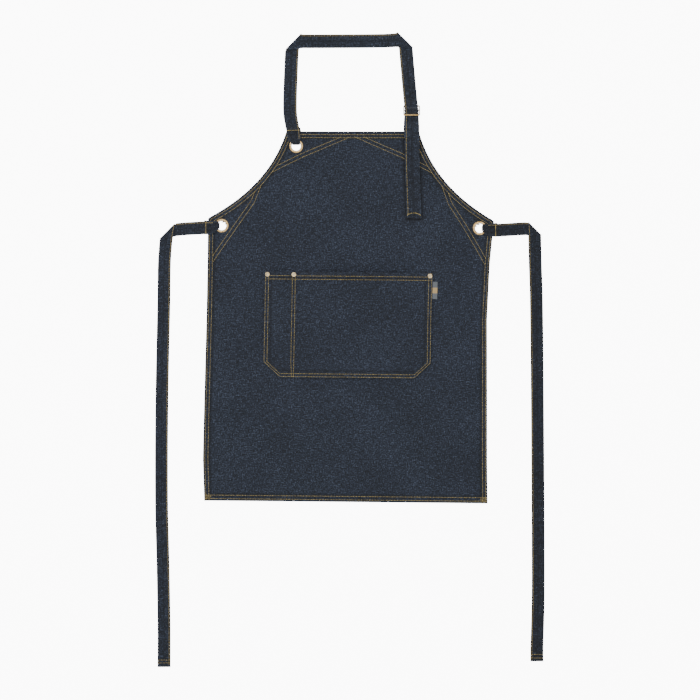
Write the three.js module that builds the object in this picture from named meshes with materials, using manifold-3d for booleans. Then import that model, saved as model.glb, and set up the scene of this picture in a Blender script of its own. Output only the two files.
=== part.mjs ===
// A denim bib apron that lies flat on a surface, front up, with its neck loop and waist ties laid out.
//
// Millimetres. +X is to the right and +Y towards the neck loop for someone who looks down at the
// apron, +Z is up, and the surface is at z = 0. The origin is on that surface, near the apron's middle
// line at waist level.
//
// The cloth pieces are cut flat and symmetric, as a pattern maker draws them, with exact levels above
// the surface. They are then raised where a strap runs under an eyelet, and moved a little sideways,
// because the apron lies slightly askew. Straps are ribbons through a list of stations.

import * as THREE from 'three';
import { mergeVertices } from 'three/addons/utils/BufferGeometryUtils.js';
import Module from 'manifold-3d';

const wasm = await Module();
wasm.setup();

// Body
const bibWidth = 280;
const bibHeight = 186;
const waistWidth = 604;
const hemWidth = 599;
const skirtLength = 597;
const clothThickness = 1.2;
const hemDepth = 12;
const gap = 0.3;

// How the armhole bends, as shares of the way from the bib's corner to the waist's corner
const armholeBend = { aside: 0.21, down: 0.62 };

// How the body lies: moved sideways as a whole, leaning and turned a little
const laidAside = 7.5;
const laidLean = 0.0182;
const laidTurn = 0.01;
const bodySides = [
  { down: -1, left: 0, right: 0 },
  { down: 0, left: 0, right: 0 },
  { down: 0.15, left: 0, right: -0.022 },
  { down: 0.35, left: 0.002, right: -0.033 },
  { down: 0.65, left: 0.010, right: -0.019 },
  { down: 0.85, left: 0.014, right: -0.010 },
  { down: 1, left: 0, right: 0 },
];

// Reinforcements behind the eyelets, reaching along the edges from each corner
const facingThickness = 1;
const bibFacing = { across: 132, below: 16.5, down: 101, bow: -3 };
const waistFacing = { up: 61, down: 108, bow: 4 };
const facingSurround = 2;

// Eyelets
const eyeletRadius = 14.6;
const eyeletHole = 9.5;
const eyeletWall = 0.8;
const eyeletRing = 1.2;
const eyeletBack = 0.8;
const bibEyelet = { aside: 21.3, down: 31.5 };
const waistEyelet = { aside: 29.2, down: 15.9 };
const topRightShift = 6.4;

// Where the body is held up by the strap under an eyelet: a flat top and a slope around it
const raisedOut = 8;
const raisedHalf = 26;
const raisedSlope = 50;

// Straps
const strapWidth = 29.2;
const tieWidth = 27.6;
const strapThickness = 1.8;
const gatherPlump = 1.33;
const returnPast = 8;
const tieSettles = 26;
const neckSettles = 24;
const returnPeek = 2;
const foldGap = 0.4;

// Neck loop, slider and its free end
const neckRun = 221.6;
const neckLean = 3.7;
const neckLeftIn = -6.5;
const neckRightIn = -13.3;
const sliderRise = 75.8;
const sliderAside = 0.1;
const tailLength = 228;
const tailAside = 5.2;
const tailSpread = 1.06;
const anchorReturn = 22;

// Waist ties
const tieOut = 116;
const leftTieDrop = 921;
const rightTieDrop = 913;

// Slider
const sliderWidth = 35.6;
const sliderLength = 23.7;
const sliderThickness = 2.2;
const endBar = 3.4;
const middleBar = 2.4;
const sideBar = 2.3;
const sliderCorner = 3.6;
const sliderEdge = 0.5;

// Pocket
const pocketWidth = 356;
const pocketHeight = 223;
const pocketDrop = 112;
const pocketAside = -2;
const pocketCorner = { across: 36, up: 33 };
const pocketEdge = 11;
const mouthHem = 16;
const penWidth = 61.5;
const pocketGape = 7;
const penGape = 6;
const stepWidth = 0.8;

// Rivets and the tape in the pocket's side seam
const rivetRadius = 5;
const rivetHeight = 1.9;
const shankRadius = 1.2;
const burrRadius = 3.9;
const burrThickness = 0.4;
const rivetInset = 5.7;
const tabWidth = 10.9;
const tabLength = 36.5;
const tabThickness = 1.1;
const tabDrop = 18;

// Facets
const armholeSteps = 9;
const eyeletSides = 18;
const rivetSides = 12;
const turnSteps = 4;

const denim = { colour: 0x303a4c, roughness: 0.92, metalness: 0 };
const denimBack = { colour: 0x2a3242, roughness: 0.92, metalness: 0 };
const brass = { colour: 0xb79a62, roughness: 0.35, metalness: 1 };
const tape = { colour: 0x4a4f55, roughness: 0.85, metalness: 0 };

// Levels that follow from the sizes
const hemThickness = facingThickness + gap + clothThickness;
const gatheredThickness = strapThickness * gatherPlump;
const raisedHeight = gatheredThickness + gap + eyeletBack + gap;
const raisedTop = raisedHeight + hemThickness;
const ringTop = raisedTop + gap + eyeletRing;
const layerPitch = strapThickness + gap;
const pocketBase = clothThickness + gap;
const pocketHemThickness = 2 * clothThickness;

const layer = (count) => strapThickness / 2 + count * layerPitch;
const v2 = (x, y) => new THREE.Vector2(x, y);

// Straight interpolation in a table whose first column is `key`
function between(table, key, column, at) {
  if (at <= table[0][key]) return table[0][column];
  for (let i = 1; i < table.length; i += 1) {
    const low = table[i - 1];
    const high = table[i];
    if (at <= high[key]) {
      const share = (at - low[key]) / (high[key] - low[key]);
      return low[column] + share * (high[column] - low[column]);
    }
  }
  return table[table.length - 1][column];
}

// The same, rounded through the rows, for what lies in a soft curve
function softly(table, key, column, at) {
  const last = table.length - 1;
  if (at <= table[0][key]) return table[0][column];
  if (at >= table[last][key]) return table[last][column];
  const i = table.findIndex((row) => at <= row[key]);
  const slopeAt = (k) => {
    const low = table[Math.max(k - 1, 0)];
    const high = table[Math.min(k + 1, last)];
    return (high[column] - low[column]) / (high[key] - low[key]);
  };
  const low = table[i - 1];
  const high = table[i];
  const span = high[key] - low[key];
  const t = (at - low[key]) / span;
  const rise = t * t * (3 - 2 * t);
  return low[column] * (1 - rise) + high[column] * rise
    + span * (slopeAt(i - 1) * t * (1 - t) * (1 - t) - slopeAt(i) * t * t * (1 - t));
}

// Moves a point of the flat pattern to where it lies
function lay(x, y) {
  const half = waistWidth / 2;
  const down = -y / skirtLength;
  const share = between(bodySides, 'down', x < 0 ? 'left' : 'right', down);
  const aside = x * share * (x / half) ** 2;
  const turn = laidTurn * THREE.MathUtils.clamp(1 - y / bibHeight, 0, 1);
  return v2(x + aside + laidAside + laidLean * y, y - turn * x);
}

// Outlines are lists of points that run anticlockwise. A positive distance grows one.
function grow(points, distance) {
  const outward = (a, b) => v2(b.y - a.y, a.x - b.x).normalize();
  return points.map((point, i) => {
    const before = points[(i + points.length - 1) % points.length];
    const after = points[(i + 1) % points.length];
    const first = outward(before, point);
    const second = outward(point, after);
    const reach = distance / (1 + first.dot(second));
    return first.add(second).multiplyScalar(reach).add(point);
  });
}

function mirrored(points) {
  return points.map((point) => v2(-point.x, point.y)).reverse();
}

// Solids for cutting and joining
function solidOf(geometry) {
  const bare = geometry.clone();
  bare.deleteAttribute('normal');
  bare.deleteAttribute('uv');
  const merged = mergeVertices(bare, 1e-4);
  return new wasm.Manifold(new wasm.Mesh({
    numProp: 3,
    vertProperties: Float32Array.from(merged.attributes.position.array),
    triVerts: Uint32Array.from(merged.index.array),
  }));
}

function slab(outline, bottom, top, holes = []) {
  const shape = new THREE.Shape(outline);
  shape.holes = holes.map((hole) => new THREE.Path([...hole].reverse()));
  const geometry = new THREE.ExtrudeGeometry(shape, { depth: top - bottom, bevelEnabled: false });
  return solidOf(geometry.translate(0, 0, bottom));
}

function post(radius, bottom, top, at, sides) {
  const geometry = new THREE.CylinderGeometry(radius, radius, top - bottom, sides);
  geometry.rotateX(Math.PI / 2).translate(at.x, at.y, (bottom + top) / 2);
  return solidOf(geometry);
}

// A sheet is a list of points and a list of triangles, which can be scored along straight lines
function sheetOf(solid) {
  const mesh = solid.getMesh();
  const points = [];
  for (let i = 0; i < mesh.vertProperties.length; i += mesh.numProp) {
    points.push(new THREE.Vector3(...mesh.vertProperties.slice(i, i + 3)));
  }
  const faces = [];
  for (let i = 0; i < mesh.triVerts.length; i += 3) {
    faces.push([...mesh.triVerts.slice(i, i + 3)]);
  }
  return { points, faces };
}

// Splits the triangles that reach into `region` where they cross the upright plane through `at` with
// the given normal, so that the sheet can bend there
function score(sheet, at, normal, region) {
  const { points } = sheet;
  const touching = 1e-3;
  const side = points.map((point) => {
    const distance = (point.x - at.x) * normal.x + (point.y - at.y) * normal.y;
    return Math.abs(distance) < touching ? 0 : distance;
  });
  const edgesOf = ([a, b, c]) => [[a, b], [b, c], [c, a]];
  const key = (a, b) => `${Math.min(a, b)} ${Math.max(a, b)}`;
  const made = new Map();
  for (const face of sheet.faces) {
    const corners = face.map((index) => v2(points[index].x, points[index].y));
    if (!new THREE.Box2().setFromPoints(corners).intersectsBox(region)) continue;
    for (const [a, b] of edgesOf(face)) {
      if (side[a] * side[b] < 0 && !made.has(key(a, b))) {
        const point = points[a].clone().lerp(points[b], side[a] / (side[a] - side[b]));
        made.set(key(a, b), points.push(point) - 1);
      }
    }
  }
  const faces = [];
  for (const [a, b, c] of sheet.faces) {
    const ring = [];
    for (const [from, to] of edgesOf([a, b, c])) {
      ring.push({ index: from, cut: false });
      if (made.has(key(from, to))) ring.push({ index: made.get(key(from, to)), cut: true });
    }
    if (ring.length === 3) {
      faces.push([a, b, c]);
    } else if (ring.length === 4) {
      const start = ring.findIndex((corner) => corner.cut);
      const corner = (step) => ring[(start + step) % 4].index;
      faces.push([corner(0), corner(1), corner(2)], [corner(0), corner(2), corner(3)]);
    } else {
      // Two cuts: the corner between them is cut off, and the rest is a four-sided piece
      const start = ring.findIndex((corner, i) => corner.cut && ring[(i + 2) % 5].cut);
      const corner = (step) => ring[(start + step) % 5].index;
      faces.push([corner(0), corner(1), corner(2)]);
      faces.push([corner(0), corner(2), corner(3)], [corner(0), corner(3), corner(4)]);
    }
  }
  return { points, faces };
}

// Meshes
const apron = new THREE.Group();

function addMesh(name, geometry, { colour, roughness, metalness }) {
  const material = new THREE.MeshStandardMaterial({ color: colour, roughness, metalness });
  const mesh = new THREE.Mesh(geometry, material);
  mesh.name = name;
  apron.add(mesh);
  return mesh;
}

function geometryOf({ points, faces }) {
  const geometry = new THREE.BufferGeometry().setFromPoints(points);
  geometry.setIndex(faces.flat());
  geometry.computeVertexNormals();
  return geometry;
}

function addSheet(name, sheet, material) {
  const used = new Map();
  const points = [];
  const faces = sheet.faces.map((face) => face.map((index) => {
    if (!used.has(index)) used.set(index, points.push(sheet.points[index]) - 1);
    return used.get(index);
  }));
  return addMesh(name, geometryOf({ points, faces }), material);
}

// Cuts round holes through a laid sheet
function pierced(sheet, holes) {
  let solid = new wasm.Manifold(new wasm.Mesh({
    numProp: 3,
    vertProperties: Float32Array.from(sheet.points.flatMap(({ x, y, z }) => [x, y, z])),
    triVerts: Uint32Array.from(sheet.faces.flat()),
  }));
  for (const { radius, bottom, top, at, sides } of holes) {
    solid = solid.subtract(post(radius, bottom, top, at, sides));
  }
  return sheetOf(solid);
}

// The flat pattern of the body
const bibHalf = bibWidth / 2;
const waistHalf = waistWidth / 2;
const hemHalf = hemWidth / 2;

const rightArmhole = new THREE.QuadraticBezierCurve(
  v2(waistHalf, 0),
  v2(
    bibHalf + armholeBend.aside * (waistHalf - bibHalf),
    bibHeight * (1 - armholeBend.down),
  ),
  v2(bibHalf, bibHeight),
);
const armholePoints = rightArmhole.getPoints(armholeSteps);

const rightSide = bodySides
  .filter(({ down }) => down > 0)
  .map(({ down }) => v2(THREE.MathUtils.lerp(waistHalf, hemHalf, down), -down * skirtLength))
  .reverse();
const bodyOutline = [
  ...rightSide,
  ...armholePoints,
  ...mirrored(armholePoints),
  ...mirrored(rightSide),
];
const hemInner = grow(bodyOutline, -hemDepth);

// The armhole's distance from the middle line at a height
function armholeAt(height) {
  const table = rightArmhole.getPoints(4 * armholeSteps).map(({ x, y }) => ({ height: y, aside: x }));
  return between(table, 'height', 'aside', height);
}

// Each eyelet: its place on the pattern, the way its strap leaves, and how far the strap turns in.
// `shift` moves the one that isn't set where its pair would have it.
const eyelets = [
  { name: 'top_left', mirror: -1, bib: true, turnOut: 3.4, shift: 0 },
  { name: 'top_right', mirror: 1, bib: true, turnOut: 3.4, shift: topRightShift },
  { name: 'left', mirror: -1, bib: false, turnOut: 5.4, shift: 0 },
  { name: 'right', mirror: 1, bib: false, turnOut: 5.4, shift: 0 },
].map((row) => {
  const inset = row.bib ? bibEyelet : waistEyelet;
  const cornerX = row.bib ? bibHalf : waistHalf;
  const cornerY = row.bib ? bibHeight : 0;
  const flat = v2(row.mirror * (cornerX - inset.aside) + row.shift, cornerY - inset.down);
  return {
    ...row,
    flat,
    out: row.bib ? v2(0, 1) : v2(row.mirror, 0),
    edge: row.bib ? inset.down : inset.aside,
    at: lay(flat.x, flat.y),
  };
});
const eyeletNamed = (name) => eyelets.find((eyelet) => eyelet.name === name);

// The body is raised in a low flat-topped mound at each eyelet, where the strap runs beneath
function mound(eyelet, x, y) {
  const centre = eyelet.flat.clone().addScaledVector(eyelet.out, raisedOut);
  const beyond = Math.max(Math.abs(x - centre.x), Math.abs(y - centre.y)) - raisedHalf;
  return raisedHeight * THREE.MathUtils.clamp(1 - beyond / raisedSlope, 0, 1);
}

function raised(x, y) {
  return Math.max(...eyelets.map((eyelet) => mound(eyelet, x, y)));
}

// Scores a sheet along the foot, the shoulder and the four hips of every mound
function scoreMounds(sheet, scoredFor = eyelets) {
  let scored = sheet;
  for (const eyelet of scoredFor) {
    const centre = eyelet.flat.clone().addScaledVector(eyelet.out, raisedOut);
    const reach = raisedHalf + raisedSlope;
    const inside = 2 * reach - gap;
    const region = new THREE.Box2().setFromCenterAndSize(centre, v2(inside, inside));
    for (const distance of [-reach, reach, -raisedHalf, raisedHalf]) {
      scored = score(scored, v2(centre.x + distance, centre.y), v2(1, 0), region);
      scored = score(scored, v2(centre.x, centre.y + distance), v2(0, 1), region);
    }
    scored = score(scored, centre, v2(1, 1).normalize(), region);
    scored = score(scored, centre, v2(1, -1).normalize(), region);
  }
  return scored;
}

// Lays a flat sheet: raised over the straps and moved to its place
function laid(sheet) {
  for (const point of sheet.points) {
    const place = lay(point.x, point.y);
    point.set(place.x, place.y, point.z + raised(point.x, point.y));
  }
  return sheet;
}

// Reinforcements
function bowed(from, to, bow) {
  const middle = from.clone().add(to).multiplyScalar(0.5);
  const along = to.clone().sub(from).normalize();
  return [from, middle.add(v2(along.y, -along.x).multiplyScalar(bow)), to];
}

const wellOutside = 80;

function cornerOf(eyelet) {
  let outline;
  if (eyelet.bib) {
    const low = bibHeight - bibFacing.down;
    const onTop = v2(bibHalf - bibFacing.across, bibHeight - bibFacing.below);
    const onArmhole = v2(armholeAt(low), low);
    outline = [
      ...bowed(onTop, onArmhole, bibFacing.bow),
      v2(onArmhole.x + wellOutside, low),
      v2(onArmhole.x + wellOutside, bibHeight + wellOutside),
      v2(onTop.x, bibHeight + wellOutside),
    ];
  } else {
    const onArmhole = v2(armholeAt(waistFacing.up), waistFacing.up);
    const onSide = v2(waistHalf, -waistFacing.down);
    outline = [
      ...bowed(onArmhole, onSide, waistFacing.bow),
      v2(waistHalf + wellOutside, onSide.y),
      v2(waistHalf + wellOutside, onArmhole.y),
    ];
  }
  return eyelet.mirror < 0 ? mirrored(outline) : outline;
}

const eyeletHoles = eyelets.map(({ at }) => ({
  radius: (eyeletHole + eyeletWall) / Math.cos(Math.PI / eyeletSides) + gap,
  bottom: 0,
  top: raisedTop + 1,
  at,
  sides: eyeletSides,
}));

eyelets.forEach((eyelet, i) => {
  const corner = slab(cornerOf(eyelet), 0, facingThickness);
  const inside = slab(grow(hemInner, -gap), 0, facingThickness);
  const facing = laid(scoreMounds(sheetOf(corner.intersect(inside)), [eyelet]));
  addSheet(`facing_${eyelet.name}`, pierced(facing, [eyeletHoles[i]]), denimBack);
});

// Pocket and rivet places on the pattern
const pocketTop = -pocketDrop;
const pocketBottom = pocketTop - pocketHeight;
const pocketLeft = pocketAside - pocketWidth / 2;
const pocketRight = pocketAside + pocketWidth / 2;
const dividerX = pocketLeft + penWidth;

const rivets = [
  { name: 'left', x: pocketLeft + rivetInset },
  { name: 'divider', x: dividerX },
  { name: 'right', x: pocketRight - rivetInset },
].map((row) => {
  const flat = v2(row.x, pocketTop - rivetInset);
  return { name: row.name, flat, at: lay(flat.x, flat.y) };
});

// Body: thin cloth, thicker at the hem and over the reinforcements, which sit in recesses behind it
function bodySolid() {
  let solid = slab(bodyOutline, 0, clothThickness);
  solid = solid.add(slab(bodyOutline, 0, hemThickness, [hemInner]));
  const whole = slab(bodyOutline, 0, hemThickness);
  const insideHem = slab(hemInner, -1, facingThickness + gap);
  for (const eyelet of eyelets) {
    const corner = cornerOf(eyelet);
    const pad = slab(grow(corner, facingSurround + gap), 0, hemThickness);
    const recess = slab(grow(corner, gap), -1, facingThickness + gap);
    solid = solid.add(pad.intersect(whole)).subtract(recess.intersect(insideHem));
  }
  return solid;
}

const shankHoles = rivets.map(({ at }) => ({
  radius: shankRadius + gap, bottom: -1, top: pocketBase + 2 * pocketHemThickness, at, sides: rivetSides,
}));
const burrRecesses = rivets.map(({ at }) => ({
  radius: burrRadius + gap, bottom: -1, top: burrThickness + gap, at, sides: rivetSides,
}));
const body = laid(scoreMounds(sheetOf(bodySolid())));
addSheet('panel', pierced(body, [...eyeletHoles, ...shankHoles, ...burrRecesses]), denim);

// Pocket: how it stands proud between its sewn lines, across one compartment and down from the mouth
const acrossPocket = [
  { share: 0, rise: 0 },
  { share: 0.12, rise: 0.5 },
  { share: 0.3, rise: 0.92 },
  { share: 0.5, rise: 1 },
  { share: 0.7, rise: 0.92 },
  { share: 0.88, rise: 0.5 },
  { share: 1, rise: 0 },
];
const downPocket = [
  { share: 0, rise: 1 },
  { share: 0.12, rise: 0.97 },
  { share: 0.26, rise: 0.86 },
  { share: 0.42, rise: 0.58 },
  { share: 0.6, rise: 0.26 },
  { share: 0.78, rise: 0.06 },
  { share: 0.92, rise: 0 },
];
const sewnMargin = Math.max(pocketEdge, rivetInset + rivetRadius) + 2 * gap;
const dividerMargin = rivetRadius + 2 * gap;
const compartments = [
  { from: pocketLeft + sewnMargin, to: dividerX - dividerMargin, gape: penGape },
  { from: dividerX + dividerMargin, to: pocketRight - sewnMargin, gape: pocketGape },
];

function pocketRise(x, y) {
  const down = between(downPocket, 'share', 'rise', (pocketTop - y) / pocketHeight);
  for (const { from, to, gape } of compartments) {
    if (x > from && x < to) {
      return gape * down * between(acrossPocket, 'share', 'rise', (x - from) / (to - from));
    }
  }
  return 0;
}

// Near the two cut-off corners the pocket narrows: its turned edges keep their width, and the cloth
// between them and the divider takes up the rest
function narrowed(x, y) {
  const up = THREE.MathUtils.clamp((y - pocketBottom) / pocketCorner.up, 0, 1);
  const cut = pocketCorner.across * (1 - up);
  const edge = pocketEdge + stepWidth;
  const share = x < dividerX
    ? (dividerX - x) / (dividerX - pocketLeft - edge)
    : (x - dividerX) / (pocketRight - edge - dividerX);
  return x + Math.min(share, 1) * cut * Math.sign(dividerX - x);
}

// The pocket is woven on a grid: turned and doubled along its edges and at its mouth, single inside
function pocketSheet() {
  const columns = [
    pocketLeft,
    pocketLeft + pocketEdge,
    pocketLeft + pocketEdge + stepWidth,
    ...compartments.flatMap(({ from, to }) => (
      acrossPocket.map(({ share }) => from + share * (to - from)))),
    pocketRight - pocketEdge - stepWidth,
    pocketRight - pocketEdge,
    pocketRight,
  ].sort((a, b) => a - b);
  const rows = [
    ...downPocket.map(({ share }) => pocketTop - share * pocketHeight),
    pocketTop - mouthHem,
    pocketTop - mouthHem - stepWidth,
    pocketBottom + pocketCorner.up,
    pocketBottom + pocketEdge + stepWidth,
    pocketBottom + pocketEdge,
    pocketBottom,
  ].sort((a, b) => a - b);
  const tiny = 1e-6;
  const doubled = (x, y) => (
    y > pocketTop - mouthHem - tiny || y < pocketBottom + pocketEdge + tiny
    || x < pocketLeft + pocketEdge + tiny || x > pocketRight - pocketEdge - tiny);
  const points = [];
  for (const top of [false, true]) {
    for (const y of rows) {
      for (const x of columns) {
        const thickness = doubled(x, y) ? pocketHemThickness : clothThickness;
        const level = pocketBase + pocketRise(x, y) + (top ? thickness : 0);
        points.push(new THREE.Vector3(narrowed(x, y), y, level));
      }
    }
  }
  const width = columns.length;
  const under = width * rows.length;
  const faces = [];
  const addWall = (a, b) => faces.push([a, b, b + under], [a, b + under, a + under]);
  for (let row = 1; row < rows.length; row += 1) {
    for (let column = 1; column < width; column += 1) {
      const a = (row - 1) * width + column - 1;
      const c = a + width + 1;
      faces.push([a, c, a + 1], [a, a + width, c]);
      faces.push([a + under, a + 1 + under, c + under], [a + under, c + under, a + width + under]);
    }
  }
  for (let column = 1; column < width; column += 1) {
    addWall(column - 1, column);
    addWall(under - width + column, under - width + column - 1);
  }
  for (let row = 1; row < rows.length; row += 1) {
    addWall(row * width, (row - 1) * width);
    addWall(row * width - 1, (row + 1) * width - 1);
  }
  return { points, faces };
}

addSheet('pocket', pierced(laid(pocketSheet()), shankHoles), denim);

// Folded tape whose raw ends are caught in the pocket's right side
function tabSheet() {
  const left = pocketRight + gap;
  const bottom = pocketTop - tabDrop - tabLength;
  const outline = [
    v2(left, bottom),
    v2(left + tabWidth, bottom),
    v2(left + tabWidth, bottom + tabLength),
    v2(left, bottom + tabLength),
  ];
  return sheetOf(slab(outline, pocketBase, pocketBase + tabThickness));
}

addSheet('side_tab', laid(tabSheet()), tape);

// Turned metal
function turned(name, profile, at, sides, material) {
  const points = profile.map(([radius, height]) => v2(radius, height));
  const geometry = new THREE.LatheGeometry(points, sides).rotateX(Math.PI / 2);
  geometry.deleteAttribute('normal');
  geometry.deleteAttribute('uv');
  const mesh = addMesh(name, mergeVertices(geometry, 1e-4), material);
  mesh.position.set(at.x, at.y, 0);
  return mesh;
}

// Rivet: a domed cap with a dimple, a shank through both cloths and a thin burr let into the back
for (const { name, at } of rivets) {
  const capBottom = pocketBase + pocketHemThickness + gap;
  const capTop = capBottom + rivetHeight;
  turned(`rivet_${name}`, [
    [0, 0],
    [burrRadius, 0],
    [burrRadius, burrThickness],
    [shankRadius, burrThickness],
    [shankRadius, capBottom],
    [rivetRadius, capBottom],
    [rivetRadius, capBottom + 0.4 * rivetHeight],
    [0.82 * rivetRadius, capTop],
    [0.55 * rivetRadius, capTop],
    [0.4 * rivetRadius, capTop - 0.35 * rivetHeight],
    [0, capTop - 0.35 * rivetHeight],
  ], at, rivetSides, brass);
}

// Eyelet: a barrel through the cloth and its reinforcement, rolled over in front and flat behind
for (const { name, at } of eyelets) {
  const backTop = raisedHeight - gap;
  const backBottom = backTop - eyeletBack;
  const frontBottom = raisedTop + gap;
  const barrel = eyeletHole + eyeletWall;
  const crown = (share) => barrel + share * (eyeletRadius - barrel);
  turned(`eyelet_${name}`, [
    [eyeletHole, backBottom],
    [eyeletRadius, backBottom],
    [eyeletRadius, backTop],
    [barrel, backTop],
    [barrel, frontBottom],
    [eyeletRadius, frontBottom],
    [eyeletRadius, frontBottom + 0.45 * eyeletRing],
    [crown(0.75), ringTop],
    [crown(0.25), ringTop],
    [eyeletHole, ringTop - 0.5 * eyeletRing],
    [eyeletHole, backBottom],
  ], at, eyeletSides, brass);
}

// Straps. A station has its centre, the level direction across the strap, half its width and its
// thickness. The section is flat with softened edges.
const strapSection = [
  [-1, -0.3], [-0.96, -1], [0.96, -1], [1, -0.3], [1, 0.3], [0.96, 1], [-0.96, 1], [-1, 0.3],
];

function addStrap(name, stations) {
  const points = [];
  const faces = [];
  const count = strapSection.length;
  const heading = (a, b) => b.at.clone().sub(a.at).normalize();
  stations.forEach((station, i) => {
    const before = heading(stations[Math.max(i - 1, 0)], stations[Math.max(i, 1)]);
    const last = stations.length - 1;
    const after = heading(stations[Math.min(i, last - 1)], stations[Math.min(i + 1, last)]);
    const along = before.clone().add(after).normalize();
    const up = station.side.clone().cross(along).normalize();
    const mitre = Math.min(1 / along.dot(after), 1.3);
    for (const [across, height] of strapSection) {
      points.push(station.at.clone()
        .addScaledVector(station.side, across * station.half)
        .addScaledVector(up, height * mitre * station.thick / 2));
    }
    if (i === 0) return;
    for (let k = 0; k < count; k += 1) {
      const a = (i - 1) * count + k;
      const b = (i - 1) * count + ((k + 1) % count);
      faces.push([a, b, b + count], [a, b + count, a + count]);
    }
  });
  const end = points.length - count;
  for (let k = 1; k < count - 1; k += 1) {
    faces.push([0, k + 1, k], [end, end + k, end + k + 1]);
  }
  for (const point of points) point.z = Math.max(point.z, 0);
  const volume = faces.reduce(
    (sum, [a, b, c]) => sum + points[a].dot(points[b].clone().cross(points[c])), 0);
  const outward = volume > 0 ? faces : faces.map(([a, b, c]) => [a, c, b]);
  return addMesh(name, geometryOf({ points, faces: outward }), denim);
}

function station(place, level, side, half, thick = strapThickness) {
  return {
    at: new THREE.Vector3(place.x, place.y, level),
    side: new THREE.Vector3(side.x, side.y, 0),
    half,
    thick,
  };
}

const rightOf = (way) => v2(way.y, -way.x);

// The end of a strap at an eyelet: its return lies underneath, it comes up through the hole, gathered,
// crosses the ring and the hem, and goes down to the surface. `aside` gives how far it strays.
function eyeletEnd(eyelet, width, aside) {
  const { out, edge, turnOut } = eyelet;
  const side = rightOf(out);
  const half = width / 2;
  const thick = gatheredThickness;
  const low = thick / 2;
  const high = ringTop + 1.5 * gap + thick / 2;
  const bend = thick;
  const corner = bend * (1 - Math.SQRT1_2);
  const clearHole = eyeletHole * Math.cos(Math.PI / eyeletSides) - 2 * gap;
  const inHole = Math.sqrt(clearHole ** 2 - (turnOut + thick / 2) ** 2);
  const overEdge = raisedTop + gap + strapThickness / 2;
  const peek = out.y > 0 || out.x < 0 ? returnPeek : -returnPeek;
  const put = (reach, level, halfWidth, thickness, shift = 0) => {
    const place = eyelet.at.clone()
      .addScaledVector(out, reach)
      .addScaledVector(side, aside(reach) + shift);
    return station(place, level, side, halfWidth, thickness);
  };
  return [
    put(edge + returnPast, layer(0), half, strapThickness, peek),
    put(edge, layer(0), half, strapThickness, 0.8 * peek),
    put(1.3 * eyeletRadius, layer(0), 0.93 * half, strapThickness, 0.4 * peek),
    put(eyeletRadius, low, 0.8 * half, thick),
    put(turnOut + bend, low, 0.5 * half, thick),
    put(turnOut + corner, low + corner, inHole, thick),
    put(turnOut, low + bend, inHole, thick),
    put(turnOut, high - bend, inHole, thick),
    put(turnOut + corner, high - corner, 1.1 * inHole, thick),
    put(turnOut + bend, high, 0.66 * half, thick),
    put(0.85 * eyeletRadius, high, 0.8 * half, thick),
    put(1.15 * eyeletRadius, high, 0.93 * half, thick),
    put(1.5 * eyeletRadius, overEdge, half, strapThickness),
    put(edge + 1.5, overEdge, half, strapThickness),
    put(edge + returnPast + 0.4, layer(1), half, strapThickness),
    put(edge + returnPast + 14, layer(0), half, strapThickness),
  ];
}

// A slanting fold that turns the strap from one way to another, over or under itself. The crease may
// be drawn out past the strap's own width, and then lies a little further in.
function foldStations(at, wayIn, wayOut, half, from, to, { drawn, inward }) {
  const side = rightOf(wayIn);
  const crease = wayIn.clone().add(wayOut).normalize();
  if (crease.dot(side) < 0) crease.negate();
  const outward = wayIn.clone().addScaledVector(crease, -wayIn.dot(crease)).normalize();
  const creaseHalf = drawn * half / Math.abs(wayIn.cross(crease));
  const radius = Math.abs(to - from) / 2;
  const middle = (from + to) / 2;
  return Array.from({ length: turnSteps + 1 }, (_, step) => {
    const angle = Math.PI * step / turnSteps;
    const place = at.clone().addScaledVector(outward, radius * Math.sin(angle) - inward);
    const level = middle + (from - middle) * Math.cos(angle);
    return station(place, level, crease, creaseHalf);
  });
}

// A straight-lying run: stations at the given reaches from `start`, straying by the table `lie`
function runStations(start, way, side, half, length, lie, reaches, levelAt) {
  return reaches.map((reach) => {
    const stray = softly(lie, 'along', 'aside', reach / length) * 2 * half;
    const place = start.clone().addScaledVector(way, reach).addScaledVector(side, stray);
    return station(place, levelAt(reach), side, half);
  });
}

function evenly(from, to, spacing) {
  const count = Math.max(1, Math.round(Math.abs(to - from) / spacing));
  return Array.from({ length: count + 1 }, (_, i) => from + (to - from) * i / count);
}

const secondLayer = layer(0) + strapThickness + foldGap;
const neckCrease = { drawn: 1.13, inward: 2 };
const leftTieCrease = { drawn: 1.15, inward: 2 };
const rightTieCrease = { drawn: 1, inward: 0 };
const runSpacing = 50;
const north = v2(0, 1);
const south = v2(0, -1);
const east = v2(1, 0);

// How far each run strays to one side, as shares of its length and of the strap's width
const leftTieAcross = [
  { along: 0.08, aside: 0 },
  { along: 0.17, aside: -0.16 },
  { along: 0.32, aside: -0.16 },
  { along: 0.77, aside: -0.275 },
  { along: 1, aside: -0.42 },
];
const rightTieAcross = [
  { along: 0.08, aside: 0 },
  { along: 0.12, aside: 0.12 },
  { along: 0.32, aside: 0.15 },
  { along: 0.82, aside: 0.03 },
  { along: 1, aside: 0.07 },
];
const leftTieDown = [
  { along: 0, aside: 0 },
  { along: 0.066, aside: -0.18 },
  { along: 0.16, aside: -0.23 },
  { along: 0.39, aside: -0.38 },
  { along: 0.62, aside: -0.405 },
  { along: 0.77, aside: -0.29 },
  { along: 0.91, aside: -0.215 },
  { along: 1, aside: -0.215 },
];
const rightTieDown = [
  { along: 0, aside: 0 },
  { along: 0.071, aside: 0.05 },
  { along: 0.16, aside: 0.14 },
  { along: 0.4, aside: 0.22 },
  { along: 0.7, aside: 0.275 },
  { along: 0.86, aside: 0.275 },
  { along: 0.97, aside: 0.18 },
  { along: 1, aside: 0.18 },
];

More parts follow.
